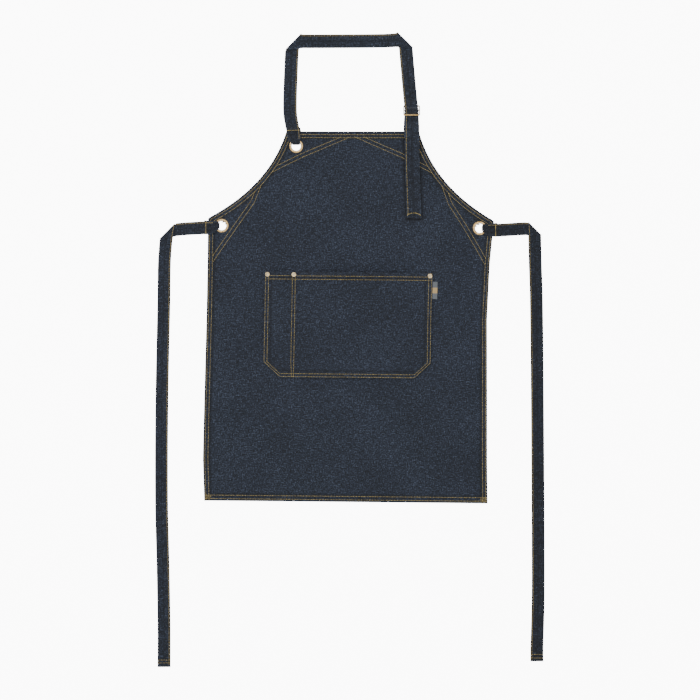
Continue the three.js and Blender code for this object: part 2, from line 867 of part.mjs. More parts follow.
// Ties: out from the eyelet, folded over at a right angle, and down beside the skirt
for (const { name, drop, across, down, crease } of [
  { name: 'left', drop: leftTieDrop, across: leftTieAcross, down: leftTieDown, crease: leftTieCrease },
  {
    name: 'right', drop: rightTieDrop, across: rightTieAcross, down: rightTieDown,
    crease: rightTieCrease,
  },
]) {
  const eyelet = eyeletNamed(name);
  const half = tieWidth / 2;
  const { out } = eyelet;
  const outSide = rightOf(out);
  const clear = half + 6;
  const stray = (reach) => softly(across, 'along', 'aside', reach / tieOut) * tieWidth;
  const foldAt = eyelet.at.clone()
    .addScaledVector(out, tieOut)
    .addScaledVector(outSide, stray(tieOut));
  const folded = foldStations(foldAt, out, south, half, layer(0), secondLayer, crease);
  const onTop = (reach) => (reach < clear + 1 ? secondLayer : layer(0));
  const outFrom = eyelet.edge + returnPast + tieSettles;
  addStrap(`tie_${name}`, [
    ...eyeletEnd(eyelet, tieWidth, stray),
    ...runStations(eyelet.at, out, outSide, half, tieOut, across,
      evenly(outFrom, tieOut - clear, runSpacing), () => layer(0)),
    ...folded,
    ...runStations(foldAt, south, east, half, drop, down,
      [clear, ...evenly(clear + 14, drop, runSpacing)], onTop),
  ]);
}

// Slider: three bars in one flat plate, tipped by the straps that pass through it
const topRight = eyeletNamed('top_right');
const sliderAt = topRight.at.clone().add(v2(sliderAside, sliderRise));
const barReach = (sliderLength - endBar) / 2;
const endBarHalf = Math.hypot(sliderThickness, endBar) / 2;
const lowBarLevel = endBarHalf + gap / 6;
const highBarLevel = layer(2) + strapThickness / 2 + gap + endBarHalf;
const sliderLevel = (lowBarLevel + highBarLevel) / 2;
const sliderTip = Math.asin((highBarLevel - lowBarLevel) / (2 * barReach));

function roundedRectangle(path, halfX, bottom, top, corner) {
  path.moveTo(-halfX + corner, bottom);
  path.lineTo(halfX - corner, bottom);
  path.absarc(halfX - corner, bottom + corner, corner, -Math.PI / 2, 0);
  path.lineTo(halfX, top - corner);
  path.absarc(halfX - corner, top - corner, corner, 0, Math.PI / 2);
  path.lineTo(-halfX + corner, top);
  path.absarc(-halfX + corner, top - corner, corner, Math.PI / 2, Math.PI);
  path.lineTo(-halfX, bottom + corner);
  path.absarc(-halfX + corner, bottom + corner, corner, Math.PI, 1.5 * Math.PI);
  return path;
}

const plate = roundedRectangle(new THREE.Shape(),
  sliderWidth / 2 - sliderEdge, -sliderLength / 2 + sliderEdge, sliderLength / 2 - sliderEdge,
  sliderCorner - sliderEdge);
const slotHalf = sliderWidth / 2 - sideBar + sliderEdge;
const slotInner = middleBar / 2 - sliderEdge;
const slotOuter = sliderLength / 2 - endBar + sliderEdge;
const slotCorner = 1.2;
plate.holes = [
  roundedRectangle(new THREE.Path(), slotHalf, slotInner, slotOuter, slotCorner),
  roundedRectangle(new THREE.Path(), slotHalf, -slotOuter, -slotInner, slotCorner),
];
const sliderGeometry = new THREE.ExtrudeGeometry(plate, {
  depth: sliderThickness - 2 * sliderEdge,
  bevelThickness: sliderEdge,
  bevelSize: sliderEdge,
  bevelSegments: 1,
  curveSegments: 2,
});
sliderGeometry.translate(0, 0, -sliderThickness / 2 + sliderEdge);
sliderGeometry.deleteAttribute('normal');
sliderGeometry.deleteAttribute('uv');
const slider = addMesh('slider', mergeVertices(sliderGeometry, 1e-4), brass);
slider.position.set(sliderAt.x, sliderAt.y, sliderLevel);
slider.rotation.set(-sliderTip, 0, 0);

// A strap over the slider's middle bar: round it at a radius, then down at 45 degrees to a level
const middleBarHalf = Math.hypot(sliderThickness, middleBar) / 2;
const anchorRadius = middleBarHalf + gap + strapThickness / 2;
const neckRadius = anchorRadius + layerPitch;
const aroundBar = (radius, degrees) => {
  const angle = THREE.MathUtils.degToRad(degrees);
  return { y: sliderAt.y + radius * Math.cos(angle), level: sliderLevel + radius * Math.sin(angle) };
};
const footOf = (radius, degrees, level) => {
  const start = aroundBar(radius, degrees);
  const run = start.level - level;
  return { y: start.y + (degrees > 90 ? -run : run), level };
};

// Short strap from the top right eyelet round the slider's middle bar and back on itself
const anchorAcross = [
  { along: 0.04, aside: 0 },
  { along: 0.2, aside: -0.03 },
  { along: 0.45, aside: -0.085 },
  { along: 0.8, aside: -0.05 },
  { along: 1, aside: 0.003 },
];
const anchorStray = (reach) => (
  softly(anchorAcross, 'along', 'aside', reach / sliderRise) * strapWidth);
const anchorStation = ({ y, level }) => station(
  v2(topRight.at.x + anchorStray(y - topRight.at.y), y), level, east, strapWidth / 2);
const anchorEnd = footOf(anchorRadius, 135, layer(1));
const anchorStations = [
  ...eyeletEnd(topRight, strapWidth, anchorStray),
  ...[
    { y: sliderAt.y - 2 * anchorRadius, level: layer(0) },
    aroundBar(anchorRadius, 270),
    aroundBar(anchorRadius, 315),
    aroundBar(anchorRadius, 360),
    aroundBar(anchorRadius, 405),
    aroundBar(anchorRadius, 450),
    aroundBar(anchorRadius, 495),
    anchorEnd,
    { y: sliderAt.y - anchorReturn, level: layer(1) },
  ].map(anchorStation),
];
addStrap('anchor_strap', anchorStations);

// Neck strap: up from the top left eyelet, folded over to the right, folded under and down, over two
// bars of the slider and under the third, with its free end resting on whatever lies under it
const leftNeckRun = [
  { along: 0.02, aside: 0 },
  { along: 0.045, aside: -0.08 },
  { along: 0.09, aside: -0.17 },
  { along: 0.142, aside: -0.2 },
  { along: 0.195, aside: -0.3 },
  { along: 0.252, aside: -0.37 },
  { along: 0.31, aside: -0.44 },
  { along: 0.48, aside: -0.44 },
  { along: 0.71, aside: -0.377 },
  { along: 0.92, aside: -0.3 },
  { along: 1, aside: neckLeftIn / strapWidth },
];
const topNeckRun = [
  { along: 0, aside: 0 },
  { along: 0.3, aside: -0.03 },
  { along: 0.8, aside: -0.06 },
  { along: 1, aside: 0 },
];
const topLeft = eyeletNamed('top_left');
const neckHalf = strapWidth / 2;
const leftFold = topLeft.at.clone().add(v2(neckLeftIn, neckRun));
const rightFold = v2(topRight.at.x + neckRightIn, leftFold.y + neckLean);
const neckAcross = rightFold.clone().sub(leftFold);
const neckWay = neckAcross.clone().normalize();
const topSide = v2(-neckWay.y, neckWay.x);
const pastFold = neckHalf + 6;
const offFold = pastFold + 14;
const neckSpan = neckAcross.length();
const neckStray = (reach) => softly(leftNeckRun, 'along', 'aside', reach / neckRun) * strapWidth;

// The free end's line, from the right fold past the slider to its tip
const tailTip = sliderAt.clone().add(v2(tailAside, -tailLength));
const downLength = rightFold.y - tailTip.y;
const rightNeckRun = [
  { along: 0, aside: 0 },
  { along: 0.058, aside: 0.015 },
  { along: 0.18, aside: 0.07 },
  { along: 0.35, aside: 0.165 },
  { along: 0.397, aside: 0.2 },
  { along: 0.45, aside: 0.195 },
  { along: 0.67, aside: 0.07 },
  { along: 0.84, aside: 0.03 },
  { along: 1, aside: 0 },
];
function downStation(y, level, half = neckHalf) {
  const along = (rightFold.y - y) / downLength;
  const line = THREE.MathUtils.lerp(rightFold.x, tailTip.x, along);
  const stray = softly(rightNeckRun, 'along', 'aside', along) * strapWidth;
  return station(v2(line + stray, y), level, v2(-1, 0), half);
}

// The highest thing under the free end at a height on the bib
function topOfStrap(stations, y) {
  let top = 0;
  for (let i = 1; i < stations.length; i += 1) {
    const a = stations[i - 1];
    const b = stations[i];
    const low = Math.min(a.at.y, b.at.y);
    const high = Math.max(a.at.y, b.at.y);
    if (y >= low && y <= high && high > low) {
      const share = (y - a.at.y) / (b.at.y - a.at.y);
      const level = THREE.MathUtils.lerp(a.at.z, b.at.z, share);
      top = Math.max(top, level + Math.max(a.thick, b.thick) / 2);
    }
  }
  return top;
}

function topOfBody(x, y) {
  const flatX = x - laidAside - laidLean * y;
  const flat = v2(flatX, y + laidTurn * THREE.MathUtils.clamp(1 - y / bibHeight, 0, 1) * flatX);
  if (flat.y > bibHeight + gap) return 0;
  const padded = eyelets.some((eyelet) => {
    const outline = grow(cornerOf(eyelet), facingSurround + 2 * gap);
    return THREE.ShapeUtils.area(outline) > 0 && contains(outline, flat);
  });
  const inHem = flat.y > bibHeight - hemDepth - gap;
  return raised(flat.x, flat.y) + (padded || inHem ? hemThickness : clothThickness);
}

function contains(outline, point) {
  let inside = false;
  outline.forEach((a, i) => {
    const b = outline[(i + 1) % outline.length];
    const crosses = (a.y > point.y) !== (b.y > point.y);
    if (crosses && point.x < a.x + (b.x - a.x) * (point.y - a.y) / (b.y - a.y)) inside = !inside;
  });
  return inside;
}

function topUnderTail(y) {
  const { at } = downStation(y, 0);
  const reach = neckHalf * tailSpread + 1;
  let top = Math.max(0, topOfStrap(anchorStations, y));
  for (const share of [-1, -0.5, 0, 0.5, 1]) {
    top = Math.max(top, topOfBody(at.x + share * reach, y));
  }
  if (Math.abs(y - topRight.at.y) < eyeletRadius + gap) top = Math.max(top, ringTop);
  return top;
}

const tailStep = 10;
function tailStation(y) {
  let top = 0;
  for (const near of evenly(y - tailStep, y + tailStep, 1)) {
    top = Math.max(top, topUnderTail(near));
  }
  const spread = THREE.MathUtils.clamp((sliderAt.y - y) / sliderLength - 0.5, 0, 1);
  const half = neckHalf * (1 + (tailSpread - 1) * spread);
  return downStation(y, top + gap + strapThickness / 2, half);
}

const overLowBar = lowBarLevel + endBarHalf + gap + strapThickness / 2;
const barFoot = footOf(neckRadius, 45, overLowBar);
const underHighBar = footOf(neckRadius, 135, layer(2));
const beyondBar = sliderAt.y - barReach - endBar;

addStrap('neck_strap', [
  ...eyeletEnd(topLeft, strapWidth, neckStray),
  ...runStations(topLeft.at, north, east, neckHalf, neckRun, leftNeckRun,
    evenly(topLeft.edge + returnPast + neckSettles, neckRun - pastFold, runSpacing), () => layer(0)),
  ...foldStations(leftFold, north, neckWay, neckHalf, layer(0), secondLayer, neckCrease),
  ...runStations(leftFold, neckWay, topSide, neckHalf, neckSpan, topNeckRun,
    [pastFold, ...evenly(offFold, neckSpan - offFold, runSpacing), neckSpan - pastFold],
    (reach) => (Math.min(reach, neckSpan - reach) < pastFold + 1 ? secondLayer : layer(0))),
  ...foldUnder(),
  ...evenly(rightFold.y - pastFold, sliderAt.y + sliderLength, runSpacing)
    .map((y) => downStation(y, layer(0))),
  downStation(sliderAt.y + barReach + endBar * 0.75, overLowBar),
  downStation(barFoot.y, barFoot.level),
  ...[45, 90, 135].map((degrees) => {
    const { y, level } = aroundBar(neckRadius, degrees);
    return downStation(y, level);
  }),
  downStation(underHighBar.y, underHighBar.level),
  downStation(beyondBar, layer(2)),
  ...evenly(beyondBar - tailStep, tailTip.y, tailStep).map(tailStation),
]);

// The second fold: the strap arrives on top, already turned over once, and goes on beneath
function foldUnder() {
  const stations = foldStations(
    rightFold, neckWay, south, neckHalf, secondLayer, layer(0), neckCrease);
  for (const { side } of stations) side.negate();
  return stations;
}

export default apron;
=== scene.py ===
# A denim bib apron, laid flat with its neck loop and its waist ties spread out, seen from above.
# Sizes are millimetres, worked out in the flat pattern of the apron, and become metres in each mesh.

import math

import bmesh
import bpy
import numpy as np
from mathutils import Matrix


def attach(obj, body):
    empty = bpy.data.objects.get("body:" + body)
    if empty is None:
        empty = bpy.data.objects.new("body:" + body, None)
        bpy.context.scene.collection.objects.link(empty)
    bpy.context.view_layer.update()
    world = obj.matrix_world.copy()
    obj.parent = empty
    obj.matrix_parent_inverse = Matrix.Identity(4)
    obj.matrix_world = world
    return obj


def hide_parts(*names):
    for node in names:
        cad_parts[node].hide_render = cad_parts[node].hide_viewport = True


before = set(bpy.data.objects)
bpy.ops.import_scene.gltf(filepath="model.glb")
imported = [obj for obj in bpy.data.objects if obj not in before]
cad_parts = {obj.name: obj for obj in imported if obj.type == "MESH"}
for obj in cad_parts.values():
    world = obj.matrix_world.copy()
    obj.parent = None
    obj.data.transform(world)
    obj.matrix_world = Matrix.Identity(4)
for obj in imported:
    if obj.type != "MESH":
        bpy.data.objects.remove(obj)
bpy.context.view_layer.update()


# Camera
# A long lens straight above the middle of the picture, so that the cloth lies square to the view.

METRES = 0.001
PICTURE_PIXELS = 700
PIXEL = 2.113
ORIGIN_PIXEL = (347.5, 219.5)
CAMERA_HEIGHT = 8000

picture_middle = (
    (PICTURE_PIXELS / 2 - ORIGIN_PIXEL[0]) * PIXEL,
    (ORIGIN_PIXEL[1] - PICTURE_PIXELS / 2) * PIXEL,
)
lens = bpy.data.cameras.new("overhead_camera")
lens.sensor_width = 36
lens.lens = lens.sensor_width * CAMERA_HEIGHT / (PICTURE_PIXELS * PIXEL)
lens.clip_end = 100
camera = bpy.data.objects.new("overhead_camera", lens)
camera.location = [v * METRES for v in (*picture_middle, CAMERA_HEIGHT)]
bpy.context.collection.objects.link(camera)
bpy.context.scene.camera = camera


# Studio
# A white table under a large soft lamp overhead and a weaker one from the upper left.

TABLE_HALF = 6.0
TABLE_LEVEL = -0.0006
TABLE_COLOUR = (0.93, 0.93, 0.93, 1)
TABLE_ROUGHNESS = 0.9
TABLE_GLOW = 9
SKY_LIGHT = 1.25
LAMPS_AIM = (0.0, -0.28, 0.0)
LAMPS = (
    ("lamp_over", (0.2, 0.3, 3.4), 2.4, 58),
    ("lamp_side", (-2.3, 1.9, 2.0), 1.4, 62),
)

table_mesh = bpy.data.meshes.new("table_top")
table_mesh.from_pydata(
    [(x, y, TABLE_LEVEL) for x, y in ((-TABLE_HALF, -TABLE_HALF), (TABLE_HALF, -TABLE_HALF),
                                     (TABLE_HALF, TABLE_HALF), (-TABLE_HALF, TABLE_HALF))],
    [], [(0, 1, 2, 3)])
table = bpy.data.objects.new("table_top", table_mesh)
bpy.context.collection.objects.link(table)
table_paint = bpy.data.materials.new("table_paint")
table_paint.use_nodes = True
table_tree = table_paint.node_tree
table_coat = table_tree.nodes["Principled BSDF"].inputs
table_coat["Base Color"].default_value = TABLE_COLOUR
table_coat["Roughness"].default_value = TABLE_ROUGHNESS
# The table glows to the eye alone, so that it looks white and doesn't light the cloth from below
table_coat["Emission Strength"].default_value = TABLE_GLOW
table_tree.links.new(
    table_tree.nodes.new("ShaderNodeLightPath").outputs["Is Camera Ray"], table_coat["Emission Color"])
table_mesh.materials.append(table_paint)

sky = bpy.data.worlds.new("studio")
sky.use_nodes = True
sky.node_tree.nodes["Background"].inputs["Color"].default_value = (1, 1, 1, 1)
sky.node_tree.nodes["Background"].inputs["Strength"].default_value = SKY_LIGHT
bpy.context.scene.world = sky

for lamp_name, place, size, power in LAMPS:
    lamp = bpy.data.lights.new(lamp_name, "AREA")
    lamp.size = size
    lamp.energy = power
    holder = bpy.data.objects.new(lamp_name, lamp)
    holder.location = place
    aim = np.array(LAMPS_AIM) - np.array(place)
    holder.rotation_euler = (
        math.acos(-aim[2] / np.linalg.norm(aim)), 0, math.atan2(aim[1], aim[0]) - math.pi / 2)
    bpy.context.collection.objects.link(holder)


# Body
# One piece of dark navy denim: the bib, two hollowed armholes and the skirt. Its edges are turned
# over and sewn down twice, and its four corners are doubled under the eyelets.

BIB_WIDTH, BIB_HEIGHT = 280, 186
WAIST_WIDTH, HEM_WIDTH, SKIRT_LENGTH = 604, 599, 597
CLOTH, HEM_CLOTH, GAP = 1.2, 2.5, 0.3
ARMHOLE_ASIDE, ARMHOLE_DOWN = 0.21, 0.62
HEM = {"side": 12.6, "armhole": 13.2, "top": 15.6, "bottom": 14.2}
HEM_STEP = 0.9
LAID_ASIDE, LAID_LEAN, LAID_TURN = 7.5, 0.0182, 0.01
SIDE_DOWN = [-1, 0, 0.15, 0.35, 0.65, 0.85, 1]
SIDE_LEFT = [0, 0, 0, 0.002, 0.010, 0.014, 0]
SIDE_RIGHT = [0, 0, -0.022, -0.033, -0.019, -0.010, 0]
BIB_HALF, WAIST_HALF, HEM_HALF = BIB_WIDTH / 2, WAIST_WIDTH / 2, HEM_WIDTH / 2

RAISED = 3.79
RAISED_OUT, RAISED_HALF, RAISED_SLOPE = 8, 26, 50
EYELETS = {
    "top_left": {"flat": (-118.7, 154.5), "out": (0, 1), "edge": 31.5, "turn": 3.4},
    "top_right": {"flat": (125.1, 154.5), "out": (0, 1), "edge": 31.5, "turn": 3.4},
    "left": {"flat": (-272.8, -15.9), "out": (-1, 0), "edge": 29.2, "turn": 5.4},
    "right": {"flat": (272.8, -15.9), "out": (1, 0), "edge": 29.2, "turn": 5.4},
}
FACING_LINE = {"top": ((4, 171), (102.7, 128.5), 81), "waist": ((190, 65), (202, 32.5), -116)}
# The reinforcements of the bib lie above the first height, and those of the waist below the second
TOP_FACINGS_ABOVE, WAIST_FACINGS_BELOW = 60, 62
HOLE_IN_CLOTH, HOLE_SNAP = 12.4, 2.6
FAR = 1e3

# Waves of the cloth: height, lengths across and up, start
WAVES = ((0.50, 61, 96, 0.6), (0.42, 38, -47, 2.2), (0.30, 25, 21, 1.1))
SNAKE_HEIGHT, SNAKE_UP, SNAKE_ACROSS, SNAKE_SWING = 0.20, 13.5, 33, 2
WAVES_LIFT = 0.55
# Distances between which the waves set in: from the edges, from the straps, below waist and neck
FROM_EDGE, STRAP_AT, FROM_STRAP, BELOW_WAIST, BELOW_NECK = (6, 60), 118, (24, 60), (20, 70), (-150, -90)

# The armhole's distance from the middle line at each height, and how steeply it runs there
armhole_t = np.linspace(0, 1, 120)
armhole_bend = (BIB_HALF + ARMHOLE_ASIDE * (WAIST_HALF - BIB_HALF), BIB_HEIGHT * (1 - ARMHOLE_DOWN))
armhole_x, armhole_y = (
    (1 - armhole_t) ** 2 * a + 2 * armhole_t * (1 - armhole_t) * b + armhole_t ** 2 * c
    for a, b, c in ((WAIST_HALF, armhole_bend[0], BIB_HALF), (0, armhole_bend[1], BIB_HEIGHT)))
armhole_steepness = np.gradient(armhole_x, armhole_y)


def armhole_at(y, inset=0):
    """The armhole's distance from the middle line, or that of a line drawn inside it."""
    slope = np.interp(y, armhole_y, armhole_steepness)
    beyond = np.minimum(y, 0) * armhole_steepness[0]
    return np.interp(y, armhole_y, armhole_x) + beyond - inset * np.sqrt(1 + slope ** 2)


def side_at(y, side_inset=0, armhole_inset=0):
    """Half the body's width at a height, less the insets."""
    down = np.clip(-np.asarray(y, float) / SKIRT_LENGTH, 0, 1)
    skirt = WAIST_HALF + (HEM_HALF - WAIST_HALF) * down - side_inset
    return np.minimum(skirt, armhole_at(y, armhole_inset))


def armhole_distance(x, y):
    """How far a point lies inside the nearer armhole."""
    slope = np.interp(y, armhole_y, armhole_steepness)
    return (armhole_at(y) - np.abs(x)) / np.sqrt(1 + slope ** 2)


def edge_distance(x, y):
    """How far a point lies inside the nearest edge of the body."""
    skirt = WAIST_HALF + (HEM_HALF - WAIST_HALF) * np.clip(-y / SKIRT_LENGTH, 0, 1) - np.abs(x)
    return np.minimum.reduce([armhole_distance(x, y), skirt, BIB_HEIGHT - y, y + SKIRT_LENGTH])


def smooth(value, low, high):
    share = np.clip((value - low) / (high - low), 0, 1)
    return share * share * (3 - 2 * share)


def lay(x, y):
    """Moves a point of the flat pattern to where it lies on the table."""
    down = -y / SKIRT_LENGTH
    left, right = (np.interp(down, SIDE_DOWN, side) for side in (SIDE_LEFT, SIDE_RIGHT))
    share = np.where(x < 0, left, right)
    aside = x * share * (x / WAIST_HALF) ** 2
    turn = LAID_TURN * np.clip(1 - y / BIB_HEIGHT, 0, 1)
    return x + aside + LAID_ASIDE + LAID_LEAN * y, y - turn * x


def raised(x, y):
    """How high the cloth is held up by the strap under each eyelet."""
    height = 0 * x
    for eyelet in EYELETS.values():
        dx = x - eyelet["flat"][0] - RAISED_OUT * eyelet["out"][0]
        dy = y - eyelet["flat"][1] - RAISED_OUT * eyelet["out"][1]
        beyond = (dx ** 4 + dy ** 4) ** 0.25 - RAISED_HALF
        height = np.maximum(height, RAISED * smooth(1 - beyond / RAISED_SLOPE, 0, 1))
    return height


def rumple(x, y):
    """The slow waves of cloth that has been folded and smoothed out again."""
    waves = sum(height * np.sin(x / across + y / up + start) for height, across, up, start in WAVES)
    waves = waves + SNAKE_HEIGHT * np.sin(y / SNAKE_UP + np.sin(x / SNAKE_ACROSS) * SNAKE_SWING)
    clear = smooth(np.abs(x - STRAP_AT), *FROM_STRAP) + smooth(-y, *BELOW_WAIST)
    calm = smooth(np.abs(edge_distance(x, y)), *FROM_EDGE) * np.clip(clear, 0, 1)
    return np.maximum(waves + WAVES_LIFT, 0) * calm * smooth(-y, *BELOW_NECK)


def facing_line(bib):
    """The inner edge of a corner's reinforcement on the right, as three points."""
    on_hem, middle, low = FACING_LINE["top" if bib else "waist"]
    return np.array([on_hem, middle, (float(armhole_at(low)) if bib else WAIST_HALF, low)])


def in_facing(x, y, bib):
    """How far a point lies inside the inner edge of a corner's reinforcement."""
    line = facing_line(bib)
    depth = []
    for a, b in ((line[0], line[1]), (line[1], line[2])):
        along = (b - a) / np.linalg.norm(b - a)
        depth.append((np.abs(x) - a[0]) * -along[1] + (y - a[1]) * along[0])
    return np.maximum(*depth) if bib else np.minimum(*depth)


def hem_share(x, y):
    """1 where the cloth is doubled at its edges, 0 elsewhere."""
    inside = {
        "side": np.where(y < 0, side_at(y) - np.abs(x), FAR), "armhole": armhole_distance(x, y),
        "top": BIB_HEIGHT - y, "bottom": y + SKIRT_LENGTH}
    return 1 - np.minimum.reduce([
        smooth(inside[edge], width - HEM_STEP, width + HEM_STEP) for edge, width in HEM.items()])


def body_top(x, y):
    """The front of the body: thicker over hems and reinforcements, drawn in along the seams."""
    facing = np.maximum(
        smooth(in_facing(x, y, True), -2.5, -0.5) * (y > TOP_FACINGS_ABOVE),
        smooth(in_facing(x, y, False), -2.5, -0.5) * (y <= WAIST_FACINGS_BELOW))
    double = np.maximum(hem_share(x, y), facing)
    edge = edge_distance(x, y)
    rounded = 0.55 * (1 - smooth(edge, -0.5, 2.2))
    sewn = 0.32 * sum(np.exp(-((edge - row) / 1.3) ** 2) for row in (4.2, 10.6))
    return raised(x, y) + rumple(x, y) + CLOTH + (HEM_CLOTH - CLOTH) * double - rounded - sewn * double


def body_under(x, y):
    """The back of the body, with room for the reinforcements."""
    edge = edge_distance(x, y)
    recess = (1 + GAP) * np.maximum(
        (in_facing(x, y, True) > -0.4) * (y > TOP_FACINGS_ABOVE),
        (in_facing(x, y, False) > -0.4) * (y <= WAIST_FACINGS_BELOW)) * (hem_share(x, y) < 0.02)
    rounded = 0.4 * (1 - smooth(edge, -0.5, 2.2))
    return raised(x, y) + rumple(x, y) + recess + rounded


def piece_of(name, points, faces, uvs, fields=None):
    """A mesh piece from points in millimetres, with a cloth UV map in metres and named fields."""
    mesh = bpy.data.meshes.new(name)
    mesh.from_pydata((np.asarray(points) * METRES).tolist(), [], faces)
    corner = np.empty(len(mesh.loops), dtype=np.int64)
    mesh.loops.foreach_get("vertex_index", corner)
    layer = mesh.uv_layers.new(name="cloth")
    layer.data.foreach_set("uv", (np.asarray(uvs)[corner] * METRES).ravel())
    for field, values in (fields or {}).items():
        attribute = mesh.attributes.new(field, "FLOAT", "POINT")
        attribute.data.foreach_set("value", np.asarray(values, dtype=np.float32).ravel())
    mesh.polygons.foreach_set("use_smooth", np.ones(len(mesh.polygons), dtype=bool))
    piece = bpy.data.objects.new(name, mesh)
    bpy.context.collection.objects.link(piece)
    return piece


def face_outwards(mesh, weld=False):
    """Turns every face of a closed mesh outwards, with the points that coincide joined if asked."""
    shape = bmesh.new()
    shape.from_mesh(mesh)
    if weld:
        bmesh.ops.remove_doubles(shape, verts=shape.verts, dist=1e-7)
    bmesh.ops.recalc_face_normals(shape, faces=shape.faces)
    shape.to_mesh(mesh)
    shape.free()


def sheet_mesh(name, top, under, uv, fields=None, keep=None):
    """A closed sheet from two grids of points, walled round its rim and round its holes."""
    rows, columns = top.shape[:2]
    keep = np.ones((rows - 1, columns - 1), bool) if keep is None else keep
    count = rows * columns
    at = np.arange(count).reshape(rows, columns)
    faces = []
    for r, c in zip(*np.nonzero(keep)):
        a, b, d, e = at[r, c], at[r, c + 1], at[r + 1, c + 1], at[r + 1, c]
        faces.append((a, b, d, e))
        faces.append((a + count, e + count, d + count, b + count))
        for near, far, dr, dc in ((a, b, -1, 0), (b, d, 0, 1), (d, e, 1, 0), (e, a, 0, -1)):
            nr, nc = r + dr, c + dc
            inside = 0 <= nr < rows - 1 and 0 <= nc < columns - 1 and keep[nr, nc]
            if not inside:
                faces.append((near, near + count, far + count, far))
    points = np.concatenate([top.reshape(-1, 3), under.reshape(-1, 3)])
    uvs = np.concatenate([uv.reshape(-1, 2), uv.reshape(-1, 2) + (0, 1500)])
    used = np.unique(np.array([i for face in faces for i in face]))
    renumber = np.zeros(2 * count, dtype=np.int64)
    renumber[used] = np.arange(len(used))
    faces = [tuple(int(renumber[i]) for i in face) for face in faces]
    both = {key: np.tile(value.ravel(), 2)[used] for key, value in (fields or {}).items()}
    both["front"] = np.concatenate([np.ones(count), np.zeros(count)])[used]
    return piece_of(name, points[used], faces, uvs[used], both)


def stepped(start, stop, edges, spacing):
    """Places from start to stop: close together near both ends and evenly spaced between."""
    near = [start + e for e in edges]
    far = [stop - e for e in edges][::-1]
    middle = np.linspace(near[-1], far[0], max(2, round((far[0] - near[-1]) / spacing)) + 1)[1:-1]
    return np.array([*near, *middle, *far])


HEM_STEPS = [0, 0.7, 1.6, 2.8, 4.2, 5.8, 7.4, 9, 10.6, 11.8, 13.2, 14.6, 16.4, 19]
BODY_ROW, BODY_COLUMNS = 4, 108
body_rows = stepped(-SKIRT_LENGTH, BIB_HEIGHT, HEM_STEPS, BODY_ROW)
inner = np.linspace(0, 1, BODY_COLUMNS)
body_x = []
for y in body_rows:
    left = [-float(side_at(y, step, step)) for step in HEM_STEPS]
    inside = left[-1] + (-2 * left[-1]) * inner[1:-1]
    body_x.append([*left, *inside, *(-v for v in left[::-1])])
body_x = np.array(body_x)
body_y = np.repeat(body_rows[:, None], body_x.shape[1], axis=1)

# Round holes: the grid is drawn to each circle, and what lies inside it is left out
in_hole = np.zeros(body_x.shape, bool)
for eyelet in EYELETS.values():
    dx, dy = body_x - eyelet["flat"][0], body_y - eyelet["flat"][1]
    away = np.hypot(dx, dy)
    near = np.abs(away - HOLE_IN_CLOTH) < HOLE_SNAP
    scale = np.where(near, HOLE_IN_CLOTH / np.maximum(away, 1), 1)
    body_x = eyelet["flat"][0] + dx * scale
    body_y = eyelet["flat"][1] + dy * scale
    in_hole |= np.hypot(dx * scale, dy * scale) < HOLE_IN_CLOTH + 0.01
keep_body = ~(in_hole[:-1, :-1] & in_hole[1:, :-1] & in_hole[:-1, 1:] & in_hole[1:, 1:])


def surface(level, x, y, lift=0):
    """Points of the laid cloth, at the height that a function of the pattern gives."""
    laid_x, laid_y = lay(x, y)
    return np.stack([laid_x, laid_y, level(x, y) + lift], axis=-1)


body_edge = edge_distance(body_x, body_y)
body = sheet_mesh(
    "body_cloth", surface(body_top, body_x, body_y), surface(body_under, body_x, body_y),
    np.stack([body_x, body_y], axis=-1), {"edge": body_edge}, keep_body)


class Shade:
    """A socket in a material, on which sums are written as Python sums."""

    def __init__(self, tree, socket=None):
        self.tree = tree
        self.socket = socket

    def node(self, kind, settings, sockets, out=0):
        made = self.tree.nodes.new(kind)
        for key, value in settings.items():
            setattr(made, key, value)
        for key, value in sockets.items():
            if isinstance(value, Shade):
                self.tree.links.new(value.socket, made.inputs[key])
            else:
                made.inputs[key].default_value = value
        return Shade(self.tree, made.outputs[out])

    def sum(self, operation, *values):
        return self.node("ShaderNodeMath", {"operation": operation}, dict(enumerate(values)))

    def __add__(self, other):
        return self.sum("ADD", self, other)

    def __rsub__(self, other):
        return self.sum("SUBTRACT", other, self)

    def __mul__(self, other):
        return self.sum("MULTIPLY", self, other)

    def sine(self):
        return self.sum("SINE", self)

    def spread(self, low, high, to_low=0.0, to_high=1.0):
        return self.node("ShaderNodeMapRange", {"interpolation_type": "SMOOTHSTEP"},
                         {0: self, 1: low, 2: high, 3: to_low, 4: to_high})

    def stretched(self, across, along):
        return self.node("ShaderNodeVectorMath", {"operation": "MULTIPLY"}, {0: self, 1: (across, along, 1)})

    def noise(self, scale, detail=2.0, roughness=0.55):
        return self.node("ShaderNodeTexNoise", {"noise_dimensions": "3D"},
                         {"Vector": self, "Scale": scale, "Detail": detail, "Roughness": roughness})

    def tinted(self, low_colour, high_colour):
        return self.node("ShaderNodeMix", {"data_type": "RGBA"}, {0: self, 6: low_colour, 7: high_colour}, 2)

    def over(self, below, colour):
        """A colour laid over another where this value is 1."""
        return self.node("ShaderNodeMix", {"data_type": "RGBA"}, {0: self, 6: below, 7: colour}, 2)


def paint(red, green, blue):
    """A colour read off a picture, as the linear one that a material takes."""
    shares = [value / 255 for value in (red, green, blue)]
    return (*(((share + 0.055) / 1.055) ** 2.4 if share > 0.04 else share / 12.92 for share in shares), 1)


